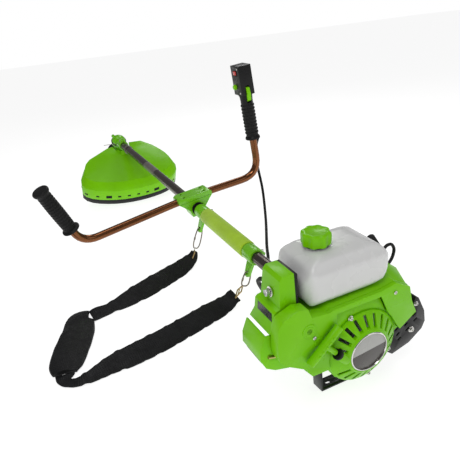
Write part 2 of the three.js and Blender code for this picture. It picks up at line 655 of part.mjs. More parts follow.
const foamSleeve = () => cut(rod(FOAM.r, FOAM.x0, FOAM.x1, 28), rod(TUBE.r + GAP, FOAM.x0 - 1, FOAM.x1 + 1, 24));

// A long wire ring that hangs from a lug's hole and carries the harness.
function hook(x, bottom) {
  const [halfWidth, top] = [10, -41.4];
  const ring = rounded(-halfWidth, halfWidth, bottom, top, 7);
  ring.holes.push(new THREE.Path(rounded(-halfWidth + 2 * HOOK_WIRE, halfWidth - 2 * HOOK_WIRE,
    bottom + 2 * HOOK_WIRE, top - 2 * HOOK_WIRE, 4).getPoints(4)));
  return plateX(ring, x - HOOK_WIRE, x + HOOK_WIRE).rotate([THREE.MathUtils.radToDeg(HANGERS.lugRoll), 0, 0]);
}

// ---- handlebar and controls ---------------------------------------------------------------------

const rolled = (piece) => piece.rotate([-THREE.MathUtils.radToDeg(BAR.roll), 0, 0]);

function clampBase() {
  const { x, lift } = BAR;
  const block = plateX([[-20, -20], [20, -20], [24, 0], [42, lift - 8], [50, lift - 0.4], [-50, lift - 0.4],
    [-42, lift - 8], [-24, 0]], x - 24, x + 24);
  return rolled(cut(block, rod(TUBE.r + GAP, x - 40, x + 40, 24), alongBar(BAR.r + GAP)));
}

function clampCap() {
  const { x, lift } = BAR;
  const block = plateX([[-50, lift + 0.4], [50, lift + 0.4], [50, lift + 9], [44, lift + 14], [-44, lift + 14],
    [-50, lift + 9]], x - 24, x + 24);
  const slots = [];
  for (const dx of [-14, 14]) {
    for (const y of [-30, 30]) slots.push(rodTo(4.2, [x + dx, y, lift + 8], [0, 0, 1], 12, 12));
  }
  return rolled(cut(block, alongBar(BAR.r + GAP), ...slots));
}

const alongBar = (r) => rodTo(r, [BAR.x, -80, BAR.lift], [0, 1, 0], 160, 24);

// Corners of the bar, in the clamp's own rolled frame about the shaft.
const BAR_BEND = 58;
const BAR_POINTS = {
  leftEnd: [689, 371, 200],
  leftBend: [714, 324, 29],
  rightBend: [739, -213, 21],
  rightEnd: [743, -217, 187],
};

function handlebar() {
  const { leftEnd, leftBend, rightBend, rightEnd } = BAR_POINTS;
  const path = bentPath([leftEnd, leftBend, [BAR.x, 60, BAR.lift], [BAR.x, -60, BAR.lift], rightBend, rightEnd],
    BAR_BEND, 7);
  const inside = bentPath([beyond(leftBend, leftEnd, 3), leftBend, [BAR.x, 60, BAR.lift],
    [BAR.x, -60, BAR.lift], rightBend, beyond(rightBend, rightEnd, 3)], BAR_BEND, 7);
  return rolled(cut(pipe(path, BAR.r, 14), pipe(inside, BAR.r - BAR.wall, 10)));
}

function beyond(from, to, extra) {
  const along = axis(...to).sub(axis(...from)).normalize();
  return axis(...to).addScaledVector(along, extra).toArray();
}

// Lays a piece drawn along +Y so that it starts at the bar's end and runs out along it.
function onBarEnd(piece, bend, end, back) {
  const along = axis(...end).sub(axis(...bend)).normalize();
  const start = axis(...end).addScaledVector(along, -back);
  return rolled(aim(piece, start.toArray(), along.toArray()));
}

function leftGrip() {
  const length = 134;
  const body = turned([[0, 0], [0, 23], [4, 23], [6, 17], [40, 16], [80, 17], [124, 16.5], [128, 21],
    [length, 20], [length, 0]], 24);
  const inside = turned([[-1, 0], [-1, BAR.r + GAP], [length - 6, BAR.r + GAP], [length - 6, 0]], 24);
  return onBarEnd(cut(body, inside), BAR_POINTS.leftBend, BAR_POINTS.leftEnd, length - 6.5);
}

// The throttle handle is drawn along its own Y, its front towards +X, then laid on the bar's right end.
const HANDLE = { back: 56, length: 206 };
const onHandle = (piece) => onBarEnd(piece, BAR_POINTS.rightBend, BAR_POINTS.rightEnd, HANDLE.back);

function throttleHandle() {
  const grip = turned([[0, 0], [0, 21], [5, 21], [10, 17], [60, 18], [110, 17], [134, 19], [134, 0]], 24);
  const head = box([-20, 29], [126, 204], [-19, 19]);
  const socket = turned([[-1, 0], [-1, BAR.r + GAP], [HANDLE.back + 1, BAR.r + GAP],
    [HANDLE.back + 1, 0]], 24);
  const triggerWell = box([3, 42], [105, 152], [-6.5, 6.5]);
  const lockWell = box([-26, -5], [105, 151], [-5.5, 5.5]);
  const switchWell = box([-3.5, 11.5], [180.5, 191.5], [-22, -7]);
  return cut(join(grip, head), socket, triggerWell, lockWell, switchWell);
}

const throttleTrigger = () => plateZ([[14, 108], [20, 108], [36, 118], [38, 130], [26, 149], [14, 149]], -6, 6);

const lockoutLever = () => plateZ([[-12, 108], [-22, 112], [-25, 130], [-21, 146], [-12, 148]], -5, 5);

const stopSwitch = () => box([-3, 11], [181, 191], [-22, -12]);

// ---- cutting head -------------------------------------------------------------------------------

// The head's own frame stands on the shaft's end: -Z down the output shaft, X forward, tilted.
const headFrame = new THREE.Group();
headFrame.position.set(HEAD.x, 0, 0);
headFrame.rotation.y = -HEAD.tilt;
machine.add(headFrame);

const toHead = (piece) => piece.translate([-HEAD.x, 0, 0]).rotate([0, THREE.MathUtils.radToDeg(HEAD.tilt), 0]);

// The bevel pair meets at the head frame's origin: the pinion on the drive shaft, the wheel above it.
const BEVEL = { pinionAngle: 24.5, wheelAngle: 34, near: 15, far: 25 };

function bevel(halfAngle, near, far) {
  const slope = Math.tan(THREE.MathUtils.degToRad(halfAngle));
  const back = Math.cos(THREE.MathUtils.degToRad(halfAngle));
  return turned([[near * back, 0], [near * back, near * back * slope], [far * back, far * back * slope],
    [far * back + 2, far * back * slope - 3], [far * back + 2, 0]], 28);
}

function gearcase() {
  const socket = toHead(rod(19.5, HEAD.x - 82, HEAD.x - 24, 28));
  const shell = solid(new THREE.SphereGeometry(30, 18, 10));
  const sleeve = standOnZ(turned([[-34, 0], [-34, 19], [-22, 24], [0, 24], [0, 0]], 28));
  const hollow = solid(new THREE.SphereGeometry(26.6, 14, 8));
  const tubeBore = toHead(rod(TUBE.r + GAP, HEAD.x - 90, HEAD.x - 33.7, 24));
  const throat = toHead(rod(12, HEAD.x - 50, HEAD.x - 10, 20));
  const shaftBore = standOnZ(turned([[-40, 0], [-40, 5 + GAP], [0, 5 + GAP], [0, 0]], 20));
  const plug = rodTo(7, [6, 14, 20], [0.2, 0.55, 0.8], 16, 6);
  const clampSlit = toHead(box([HEAD.x - 90, HEAD.x - 50], [-1, 1], [6, 30]));
  const ears = toHead(box([HEAD.x - 80, HEAD.x - 58], [-9, 9], [15, 26]));
  return cut(join(shell, socket, sleeve, ears, plug), hollow, tubeBore, throat, shaftBore, clampSlit);
}

// A turned piece drawn on Y stands up along Z.
const standOnZ = (piece) => piece.rotate([90, 0, 0]);

function pinionGear() {
  const cone = bevel(BEVEL.pinionAngle, BEVEL.near, BEVEL.far).rotate([0, 0, 90]).translate([HEAD.x, 0, 0]);
  return cone.subtract(rod(DRIVE_R + 0.2, HEAD.x - 60, HEAD.x - 22.5, 16));
}

function outputGear() {
  const wheel = standOnZ(bevel(BEVEL.wheelAngle, BEVEL.near, BEVEL.far));
  const shaft = standOnZ(turned([[-72, 0], [-72, 5], [20, 5], [20, 0]], 20));
  return join(wheel, shaft);
}

function trimmerHead() {
  const body = standOnZ(turned([[-96, 0], [-96, 40], [-84, 50], [-58, 52], [-44, 46], [-38, 30], [-38, 0]], 32));
  const well = standOnZ(turned([[-98, 0], [-98, 28], [-76, 28], [-76, 0]], 24));
  const boss = standOnZ(turned([[-80, 0], [-80, 5 + GAP], [-30, 5 + GAP], [-30, 0]], 20));
  const eyelet = solid(new THREE.BoxGeometry(8, 8, 8)).translate([50, 0, -72]);
  return cut(body, well, boss, eyelet, eyelet.rotate([0, 0, 180]));
}

const bumpKnob = () => standOnZ(turned([[-110, 0], [-110, 16], [-104, 25], [-96, 27.4], [-85, 27.4], [-85, 0]], 24));

// The guard's top plate as (x, y) in the head frame, with how far each corner flares outwards below.
const GUARD_TOP = [[-30, 36, 0], [-34, 60, 0], [-76, 146, 0], [-118, 176, 12], [-165, 184, 24], [-196, 156, 26],
  [-216, 104, 26], [-227, 50, 26], [-231, -6, 26], [-230, -60, 26], [-223, -112, 26], [-203, -150, 26],
  [-166, -170, 22], [-118, -160, 10], [-62, -124, 0], [-26, -86, 0], [-22, -36, 0], [-54, -28, 0], [-54, 28, 0]];
const GUARD_Z = { top: 8, bevel: -18, rim: -70, skirt: -96 };

// The curved rim gets a corner between each pair of corners of the plate, on the same smooth curve.
const GUARD_OUTLINE = GUARD_TOP.flatMap((corner, i, all) => {
  if (i < 2 || i > 13) return [corner];
  const between = corner.map((value, k) => (9 * (value + all[i + 1][k]) - all[i - 1][k] - all[i + 2][k]) / 16);
  return [corner, between];
});

function guardLoop(z, flare, t) {
  const middle = [-70, 0];
  const points = GUARD_OUTLINE.map(([x, y, out]) => {
    const away = new THREE.Vector2(x - middle[0], y - middle[1]).normalize().multiplyScalar(out * flare);
    return [x + away.x, y + away.y];
  });
  return inset(points, t).map(([x, y]) => [x, y, z]);
}

function guard() {
  const { top, bevel: shoulder, rim } = GUARD_Z;
  const outer = loft([guardLoop(rim, 1.04, 0), guardLoop(shoulder, 1, 0), guardLoop(top, 0, 0)]);
  const inner = loft([guardLoop(rim - 2, 1.04, 3), guardLoop(shoulder, 1, 3), guardLoop(top - 3, 0, 3)]);
  const opening = [[-46, 70], [-108, 210], [60, 210], [60, -210], [-90, -210], [-40, -90], [-60, 0]];
  const front = plateZ(opening, rim - 3, top - 3);
  const mount = toHead(box([1512, 1540], [-16, 16], [-44, -19.9])).intersect(
    solid(new THREE.BoxGeometry(200, 100, 60)).translate([-60, 0, top - 2 + 30]));
  let shell = join(cut(outer, inner, front), mount);
  const slot = solid(new THREE.BoxGeometry(40, 7, 7));
  for (let k = -4; k <= 4; k++) {
    const angle = 180 + 11 * k;
    shell = shell.subtract(slot.translate([190, 0, -52]).rotate([0, 0, angle]).translate([-60, 0, 0]));
  }
  return shell;
}

function guardSkirt() {
  const { rim, skirt } = GUARD_Z;
  const band = (t) => guardLoop(0, 1.04, t).slice(4, 25).map(([x, y]) => [x, y]);
  return plateZ([...band(0.4), ...band(3.4).reverse()], skirt, rim - GAP);
}

// ---- cords and the harness ----------------------------------------------------------------------

const CABLE = [[741.9, -214.6, 154.6], [752, -214, 134], [764, -216, 100], [768, -222, 58], [742, -220, -6],
  [640, -170, -52], [500, -93, -49], [430, -57, -41], [370, -24, -35], [300, 14, -33], [250, 46, -16],
  [205, 80, 36], [170, 106, 84], [143, 104, 100], [138, 84, 89], [129, 71, 84.4], [118.5, 70, 84]];
const LEAD = [outFromCrank(0, 158.5), outFromCrank(0, 166), [112, -138, 106], [111, -144, 95], [108, -139, 83],
  [103, -128, 77], [100, -120.5, 76]];

const throttleCable = () => sweep(CABLE, 4, { sides: 10, steps: 56 });
const ignitionLead = () => sweep(LEAD, 3, { sides: 8, steps: 16 });

// The harness lies on the floor, so its points are in the floor's frame, each with its half width.
const STRAP_FRONT = [[616, 36, 44, 10], [613, 52, 22, 18], [596, 90, 3, 24], [566, 150, 2, 26],
  [538, 210, 2, 26], [518, 264, 2, 22], [508, 308, 2, 16], [503.5, 342, 2, 20], [502, 358, 2, 23]];
const PAD = [[501.4, 364, 2, 26], [499.5, 384, 2, 32], [440, 400, 2, 36], [380, 424, 2, 37], [330, 444, 2, 34],
  [306, 450, 2, 24]];
const STRAP_REAR = [[304.6, 450.4, 2, 20], [286, 454, 2, 14], [268, 442, 2, 11], [260, 416, 2, 11],
  [264, 386, 2, 12], [270, 356, 2, 18],
  [272, 320, 2, 22], [284, 260, 2, 22], [304, 190, 2, 22], [326, 120, 2, 22], [336, 84, 4, 20],
  [340.5, 64, 9, 18]];
const BUCKLE = [[341, 58, 13, 18], [336, 44, 26, 18], [329, 32, 42, 11]];

// ---- assembly -----------------------------------------------------------------------------------

add('recoil_cover', recoilCover(), GREEN);
add('recoil_badge', rod(36, RECOIL_FACE, RECOIL_FACE + 1.5, 40), GREY);
add('starter_pulley', starterPulley(), BLACK);
add('starter_handle', starterHandle(), GREEN);
add('starter_rope', starterRope(), BLACK);
add('engine_cover', engineCover(), GREEN);
add('flywheel_fan', flywheelFan(), CAST);
add('crankshaft', crankshaft(), STEEL);
add('crankcase', crankcase(), CAST);
add('cylinder', cylinder(), CAST);
add('piston', piston(), STEEL);
add('ignition_coil', ignitionCoil(), BLACK);
add('spark_plug', sparkPlug(), STEEL);
add('plug_boot', plugBoot(), RUBBER);
add('ignition_lead', ignitionLead(), RUBBER);
add('fuel_tank', fuelTank(), WHITE);
add('fuel_cap', fuelCap(), GREEN);
add('air_filter_cover', filterCover(), GREEN);
add('air_filter_base', filterBase(), BLACK);
add('air_filter_element', filterElement(), RUBBER);
add('air_filter_screw', filterScrew(), STEEL);
add('carburettor', carburettor(), CAST);
add('choke_lever', chokeLever(), BLACK);
add('leg_guard', legGuard(), GREEN);
add('muffler', muffler(), STEEL);
add('muffler_guard', mufflerGuard(), BLACK);
add('clutch_housing', clutchHousing(), BLACK);
add('clutch_shoes', clutchShoes(), STEEL);
add('clutch_drum', clutchDrum(), STEEL);
add('engine_stand', engineStand(), BLACK, product);

add('shaft_tube', shaftTube(), BRONZE);
add('drive_shaft', driveShaft(), STEEL);
add('shaft_bush', bush(880), BLACK);
add('foam_sleeve', foamSleeve(), FOAM_GREEN);
add('rear_hanger', hanger(HANGERS.rear), GREEN);
add('front_hanger', hanger(HANGERS.front), GREEN);
add('clamp_base', clampBase(), GREEN);
add('clamp_cap', clampCap(), GREEN);
add('handlebar', handlebar(), BRONZE);
add('left_grip', leftGrip(), RUBBER);
add('throttle_handle', onHandle(throttleHandle()), BLACK);
add('throttle_trigger', onHandle(throttleTrigger()), BLACK);
add('lockout_lever', onHandle(lockoutLever()), GREEN);
add('stop_switch', onHandle(stopSwitch()), RED);
add('throttle_cable', throttleCable(), RUBBER);

add('gearcase', gearcase(), GREEN, headFrame);
add('pinion_gear', pinionGear(), STEEL);
add('output_gear', outputGear(), STEEL, headFrame);
add('trimmer_head', trimmerHead(), BLACK, headFrame);
add('bump_knob', bumpKnob(), BLACK, headFrame);
add('guard', guard(), GREEN, headFrame);
add('guard_skirt', guardSkirt(), BLACK, headFrame);

add('front_hook', hook(HANGERS.front, -106), STEEL);
add('rear_hook', hook(HANGERS.rear, -82), STEEL);
add('strap_front', ribbon(STRAP_FRONT, 3), WEB, product);
add('shoulder_pad', ribbon(PAD, 12), WEB, product);
add('strap_rear', ribbon(STRAP_REAR, 3), WEB, product);
add('strap_buckle', ribbon(BUCKLE, 4), STEEL, product);

export default product;
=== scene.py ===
import math

import bmesh
import bpy
from mathutils import Matrix, Vector
from mathutils.bvhtree import BVHTree


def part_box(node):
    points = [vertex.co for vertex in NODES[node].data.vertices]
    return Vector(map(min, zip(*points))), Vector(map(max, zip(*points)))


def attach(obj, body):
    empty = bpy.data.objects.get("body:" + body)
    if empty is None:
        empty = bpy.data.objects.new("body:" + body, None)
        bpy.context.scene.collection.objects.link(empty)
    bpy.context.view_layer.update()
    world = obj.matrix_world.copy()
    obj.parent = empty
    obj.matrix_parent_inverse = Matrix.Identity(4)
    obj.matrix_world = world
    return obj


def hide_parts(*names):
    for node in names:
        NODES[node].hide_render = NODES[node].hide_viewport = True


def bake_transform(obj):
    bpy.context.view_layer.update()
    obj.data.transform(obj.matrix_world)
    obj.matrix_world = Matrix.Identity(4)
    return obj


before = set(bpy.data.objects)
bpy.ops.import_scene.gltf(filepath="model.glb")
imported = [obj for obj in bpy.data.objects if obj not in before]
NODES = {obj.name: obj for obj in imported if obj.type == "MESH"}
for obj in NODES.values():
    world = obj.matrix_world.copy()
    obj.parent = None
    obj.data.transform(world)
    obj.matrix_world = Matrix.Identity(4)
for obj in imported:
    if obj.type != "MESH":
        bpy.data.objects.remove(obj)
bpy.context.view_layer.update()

# ---- frames ------------------------------------------------------------------------------------
# Millimetres in the machine's own frames, brought into the floor's frame in metres.

PITCH = math.radians(4.6)
FOOT = Vector((68, 0, -104))
FLOOR_MM = Matrix.Scale(0.001, 4)
MACHINE = FLOOR_MM @ Matrix.Rotation(-PITCH, 4, "Y") @ Matrix.Translation(-FOOT)
HEAD = MACHINE @ Matrix.Translation((1590, 0, 0)) @ Matrix.Rotation(-math.radians(30), 4, "Y")
ROLLED = MACHINE @ Matrix.Rotation(-math.radians(7), 4, "X")
LUG = MACHINE @ Matrix.Rotation(math.radians(20), 4, "X")


def bar_end(bend, end, back):
    """The frame of a grip: +Y out along the bar's end, from a point that far back from the end."""
    along = (Vector(end) - Vector(bend)).normalized()
    start = Vector(end) - along * back
    turn = Vector((0, 1, 0)).rotation_difference(along).to_matrix().to_4x4()
    return ROLLED @ Matrix.Translation(start) @ turn


GRIP = bar_end((714, 324, 29), (689, 371, 200), 127.5)
HANDLE = bar_end((739, -213, 21), (743, -217, 187), 56)

FORWARD, REARWARD, UP = (1, 0, 0), (-1, 0, 0), (0, 0, 1)
REAR_HANGER, FRONT_HANGER = 396, 678
CENTRE = 0.001

# ---- camera ------------------------------------------------------------------------------------

LENS, SENSOR = 39.13, 36
AZIMUTH, ELEVATION, ROLL = math.radians(23.8), math.radians(25.7), math.radians(-5.2)
EYE = MACHINE @ Vector((-495, 444, 544))


def camera():
    ahead = Vector((math.cos(ELEVATION) * math.cos(AZIMUTH), -math.cos(ELEVATION) * math.sin(AZIMUTH),
                    -math.sin(ELEVATION)))
    right = Vector((-math.sin(AZIMUTH), -math.cos(AZIMUTH), 0))
    down = ahead.cross(right)
    c, s = math.cos(ROLL), math.sin(ROLL)
    right, down = right * c - down * s, right * s + down * c
    turn = MACHINE.to_3x3() * 1000
    axes = [turn @ right, turn @ -down, turn @ -ahead]
    data = bpy.data.cameras.new("camera")
    data.lens, data.sensor_width = LENS, SENSOR
    data.clip_start, data.clip_end = 0.02, 50
    cam = bpy.data.objects.new("camera", data)
    bpy.context.scene.collection.objects.link(cam)
    basis = Matrix((axes[0], axes[1], axes[2])).transposed().to_4x4()
    cam.matrix_world = Matrix.Translation(EYE) @ basis
    bpy.context.scene.camera = cam


camera()

# ---- materials ---------------------------------------------------------------------------------


def material(name, base, rough=0.4, metal=0.0, coat=0.0, vary=0.12, vary_scale=9.0, grain=0.0,
             grain_scale=900.0, waves=0.0, wave_scale=25.0, wear=0.0, wear_color=(0.9, 0.9, 0.9), sheen=0.0,
             sub=0.0, rough_vary=0.1, dirt=0.0, aniso=0.0,
             shine=0.5):
    """Moulded, painted, cast and rubber finishes: colour drift, grain, soft unevenness and worn edges."""
    made = bpy.data.materials.new(name)
    made.use_nodes = True
    tree = made.node_tree
    shader = tree.nodes["Principled BSDF"]
    coords = tree.nodes.new("ShaderNodeTexCoord").outputs["Object"]
    shader.inputs["Metallic"].default_value = metal
    shader.inputs["Coat Weight"].default_value = coat
    shader.inputs["Coat Roughness"].default_value = 0.1
    shader.inputs["Sheen Weight"].default_value = sheen
    shader.inputs["Anisotropic"].default_value = aniso
    shader.inputs["Specular IOR Level"].default_value = shine
    shader.inputs["Subsurface Weight"].default_value = sub
    shader.inputs["Subsurface Scale"].default_value = 0.012
    shader.inputs["Subsurface Radius"].default_value = (1, 1, 1)

    def noise(scale, detail=4):
        node = tree.nodes.new("ShaderNodeTexNoise")
        node.inputs["Scale"].default_value = scale
        node.inputs["Detail"].default_value = detail
        tree.links.new(coords, node.inputs["Vector"])
        return node.outputs["Fac"]

    def ramp(value, low, high, color_low, color_high):
        node = tree.nodes.new("ShaderNodeValToRGB")
        first, last = node.color_ramp.elements
        first.position, last.position = low, high
        first.color, last.color = (*color_low, 1), (*color_high, 1)
        tree.links.new(value, node.inputs["Fac"])
        return node.outputs["Color"]

    def mixed(factor, a, b):
        node = tree.nodes.new("ShaderNodeMix")
        node.data_type = "RGBA"
        tree.links.new(factor, node.inputs["Factor"])
        tree.links.new(a, node.inputs["A"])
        if isinstance(b, tuple):
            node.inputs["B"].default_value = (*b, 1)
        else:
            tree.links.new(b, node.inputs["B"])
        return node.outputs["Result"]

    low = tuple(c * (1 - vary) for c in base)
    high = tuple(min(1, c * (1 + vary)) for c in base)
    color = ramp(noise(vary_scale), 0.3, 0.7, low, high)
    if dirt:
        factor = ramp(noise(vary_scale * 5, 8), 0.52, 0.75, (0, 0, 0), (dirt,) * 3)
        color = mixed(factor, color, tuple(c * 0.35 + 0.02 for c in base))
    if wear:
        geometry = tree.nodes.new("ShaderNodeNewGeometry")
        factor = ramp(geometry.outputs["Pointiness"], 0.52, 0.6, (0, 0, 0), (wear,) * 3)
        color = mixed(factor, color, wear_color)
    tree.links.new(color, shader.inputs["Base Color"])
    rough_map = ramp(noise(vary_scale * 3, 6), 0.3, 0.7, (max(0.03, rough - rough_vary),) * 3,
                     (min(1, rough + rough_vary),) * 3)
    tree.links.new(rough_map, shader.inputs["Roughness"])
    height = None
    for strength, scale, distance in ((grain, grain_scale, 0.0004), (waves, wave_scale, 0.004)):
        if not strength:
            continue
        bump = tree.nodes.new("ShaderNodeBump")
        bump.inputs["Strength"].default_value = strength
        bump.inputs["Distance"].default_value = distance
        tree.links.new(noise(scale, 3), bump.inputs["Height"])
        if height:
            tree.links.new(height, bump.inputs["Normal"])
        height = bump.outputs["Normal"]
    if height:
        tree.links.new(height, shader.inputs["Normal"])
    return made


def webbing(name, base):
    """Woven polyester: a fine weave along the band, from its own UV in metres."""
    made = material(name, base, rough=0.6, vary=0.35, vary_scale=30, grain=0.25, grain_scale=1500, shine=0.3)
    tree = made.node_tree
    shader = tree.nodes["Principled BSDF"]
    uv = tree.nodes.new("ShaderNodeUVMap")
    height = None
    for turn, scale, strength in ((0.0, 420, 0.55), (math.pi / 2, 520, 0.45)):
        turned = tree.nodes.new("ShaderNodeMapping")
        turned.inputs["Rotation"].default_value = (0, 0, turn)
        wave = tree.nodes.new("ShaderNodeTexWave")
        wave.inputs["Scale"].default_value = scale / 6.28
        wave.inputs["Distortion"].default_value = 0.4
        bump = tree.nodes.new("ShaderNodeBump")
        bump.inputs["Strength"].default_value = strength
        bump.inputs["Distance"].default_value = 0.0006
        tree.links.new(uv.outputs["UV"], turned.inputs["Vector"])
        tree.links.new(turned.outputs["Vector"], wave.inputs["Vector"])
        tree.links.new(wave.outputs["Fac"], bump.inputs["Height"])
        if height:
            tree.links.new(height, bump.inputs["Normal"])
        height = bump.outputs["Normal"]
    tree.links.new(height, shader.inputs["Normal"])
    return made


def split_badge(name):
    """The badge: light grey above a slanting line, dark warm grey below; its silver edge ring is a piece of
    its own.
    """
    made = material(name, (0.42, 0.42, 0.40), rough=0.3, coat=0.4)
    tree = made.node_tree
    shader = tree.nodes["Principled BSDF"]
    coords = tree.nodes.new("ShaderNodeTexCoord")
    parts = tree.nodes.new("ShaderNodeSeparateXYZ")
    tree.links.new(coords.outputs["Object"], parts.inputs["Vector"])
    slope, middle = -0.10, 0.1010
    along = tree.nodes.new("ShaderNodeMath")
    along.operation = "MULTIPLY_ADD"
    along.inputs[1].default_value = slope
    along.inputs[2].default_value = middle
    tree.links.new(parts.outputs["Y"], along.inputs[0])
    below = tree.nodes.new("ShaderNodeMath")
    below.operation = "LESS_THAN"
    tree.links.new(parts.outputs["Z"], below.inputs[0])
    tree.links.new(along.outputs[0], below.inputs[1])
    mix = tree.nodes.new("ShaderNodeMix")
    mix.data_type = "RGBA"
    tree.links.new(below.outputs[0], mix.inputs["Factor"])
    light = shader.inputs["Base Color"].links[0].from_socket
    tree.links.new(light, mix.inputs["A"])
    mix.inputs["B"].default_value = (0.045, 0.036, 0.032, 1)
    tree.links.new(mix.outputs["Result"], shader.inputs["Base Color"])
    return made


LIME = (0.195, 0.60, 0.0)
MAT = {
    "green": material("green_plastic", LIME, rough=0.32, coat=0.05, vary=0.07, grain=0.10, waves=0.06,
                      wear=0.12, wear_color=(0.34, 0.80, 0.03), sub=0.0, dirt=0.05, shine=0.15),
    "green_metal": material("green_metal", (0.17, 0.58, 0.0), rough=0.26, coat=0.12, vary=0.06, waves=0.10,
                            wave_scale=60, wear=0.2, wear_color=(0.35, 0.85, 0.1), dirt=0.05),
    "black": material("black_plastic", (0.008, 0.008, 0.0085), rough=0.40, vary=0.3, grain=0.22, waves=0.05,
                      wear=0.2, wear_color=(0.04, 0.04, 0.04), dirt=0.08, shine=0.2),
    "rubber": material("black_rubber", (0.005, 0.005, 0.0052), rough=0.58, vary=0.3, grain=0.35,
                       grain_scale=600, wear=0.15, wear_color=(0.03, 0.03, 0.03), dirt=0.1, shine=0.25),
    "black_steel": material("black_steel", (0.005, 0.005, 0.0055), rough=0.30, coat=0.06, shine=0.25,
                            vary=0.3, waves=0.12, wave_scale=50, wear=0.3, wear_color=(0.05, 0.05, 0.05),
                            dirt=0.1),
    "tank": material("tank_plastic", (0.72, 0.72, 0.715), rough=0.26, coat=0.15, vary=0.03, grain=0.06,
                     waves=0.07, wave_scale=18, sub=0.5, rough_vary=0.06),
    "steel": material("steel", (0.56, 0.56, 0.57), rough=0.30, metal=1, vary=0.10, grain=0.12, dirt=0.3,
                      grain_scale=2000),
    "chrome": material("plated_steel", (0.70, 0.69, 0.66), rough=0.16, metal=1, vary=0.08, vary_scale=60,
                       dirt=0.25),
    "cast": material("cast_metal", (0.52, 0.53, 0.54), rough=0.5, metal=0.9, vary=0.10, grain=0.6,
                     grain_scale=700, waves=0.1, dirt=0.3),
    "tube": material("bronze_tube", (0.045, 0.018, 0.009), rough=0.24, metal=0.9, coat=0.08, vary=0.2,
                     vary_scale=14, grain=0.05, aniso=0.4, wear=0.1, dirt=0.15),
    "bar": material("copper_tube", (0.20, 0.075, 0.028), rough=0.20, metal=0.95, coat=0.1, vary=0.15,
                    vary_scale=12, grain=0.05, aniso=0.3, dirt=0.12),
    "foam": material("foam", (0.42, 0.68, 0.012), rough=0.85, vary=0.12, vary_scale=20, grain=0.9,
                     grain_scale=420, waves=0.25, wave_scale=70, sheen=0.3),
    "filter": material("filter_foam", (0.03, 0.03, 0.03), rough=0.95, vary=0.3, grain=1.0, grain_scale=500),
    "red": material("red_plastic", (0.62, 0.02, 0.015), rough=0.3, coat=0.4, vary=0.08, grain=0.1),
    "ring": material("spring_steel", (0.22, 0.19, 0.15), rough=0.22, metal=1, vary=0.15, vary_scale=60,
                     dirt=0.3),
    # Painted shade: a near-black finish that stands in for the shade inside vents and grooves.
    "painted_shade": material("painted_recess_shade", (0.010, 0.012, 0.010), rough=0.6, vary=0.2, grain=0.2, shine=0.1),
    "brass": material("brass", (0.50, 0.36, 0.16), rough=0.34, metal=1, vary=0.15, dirt=0.4),
    "label": material("blank_label", (0.22, 0.20, 0.18), rough=0.34, metal=0.6, coat=0.2, vary=0.12,
                      vary_scale=70),
    "dark_label": material("dark_label", (0.020, 0.018, 0.018), rough=0.28, coat=0.5, vary=0.3, vary_scale=60,
                           grain=0.06),
    "faded": material("faded_label", (0.32, 0.46, 0.20), rough=0.55, vary=0.18, vary_scale=90, grain=0.15,
                      dirt=0.5),
    "webbing": webbing("webbing", (0.0042, 0.0043, 0.0052)),
    "badge": split_badge("badge"),
    "floor": material("floor", (0.36, 0.36, 0.36), rough=0.8, vary=0.005, grain=0.02, shine=0.1),
}

# ---- building blocks ---------------------------------------------------------------------------


def smooth_group(name, degrees):
    """Smooth shading everywhere but across edges sharper than this."""
    group = bpy.data.node_groups.new(name, "GeometryNodeTree")
    group.interface.new_socket("Geometry", in_out="INPUT", socket_type="NodeSocketGeometry")
    group.interface.new_socket("Geometry", in_out="OUTPUT", socket_type="NodeSocketGeometry")
    entry, leave = group.nodes.new("NodeGroupInput"), group.nodes.new("NodeGroupOutput")
    angle = group.nodes.new("GeometryNodeInputMeshEdgeAngle")
    sharp = group.nodes.new("FunctionNodeCompare")
    sharp.operation = "GREATER_THAN"
    sharp.inputs["B"].default_value = math.radians(degrees)
    faces = group.nodes.new("GeometryNodeSetShadeSmooth")
    edges = group.nodes.new("GeometryNodeSetShadeSmooth")
    faces.domain, edges.domain = "FACE", "EDGE"
    edges.inputs["Shade Smooth"].default_value = False
    link = group.links.new
    link(entry.outputs[0], faces.inputs["Geometry"])
    link(faces.outputs[0], edges.inputs["Geometry"])
    link(angle.outputs["Unsigned Angle"], sharp.inputs["A"])
    link(sharp.outputs[0], edges.inputs["Selection"])
    link(edges.outputs[0], leave.inputs[0])
    return group


SMOOTH = smooth_group("smooth_by_angle", 32)


def finish_edges(piece, bevel=0.0, clean=False):
    if clean:
        weld = piece.modifiers.new("weld", "WELD")
        weld.merge_threshold = 0.00002
        flat = piece.modifiers.new("flat", "DECIMATE")
        flat.decimate_type = "DISSOLVE"
        flat.angle_limit = math.radians(0.6)
    if bevel:
        edge = piece.modifiers.new("edge", "BEVEL")
        edge.width, edge.segments = bevel, 2
        edge.limit_method, edge.angle_limit = "ANGLE", math.radians(32)
        edge.use_clamp_overlap = True
    shade = piece.modifiers.new("shade", "NODES")
    shade.node_group = SMOOTH


def dress(node, look, bevel=0.0007):
    piece = NODES[node]
    piece.data.materials.clear()
    piece.data.materials.append(MAT[look])
    custom = piece.data.attributes.get("custom_normal")
    if custom:
        piece.data.attributes.remove(custom)
    finish_edges(piece, bevel, clean=True)


def put(name, made, look, body="machine", bevel=0.0, where=None, replaces=()):
    """A new piece from a bmesh or mesh data in millimetres of some frame."""
    if isinstance(made, bmesh.types.BMesh):
        data = bpy.data.meshes.new(name)
        bmesh.ops.remove_doubles(made, verts=made.verts, dist=0.001)
        bmesh.ops.recalc_face_normals(made, faces=made.faces)
        made.to_mesh(data)
        made.free()
    else:
        data = made
    if where is not None:
        data.transform(where)
    piece = bpy.data.objects.new(name, data)
    bpy.context.scene.collection.objects.link(piece)
    data.materials.append(MAT[look])
    finish_edges(piece, bevel)
    if body:
        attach(piece, body)
    if replaces:
        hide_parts(*replaces)
    return piece


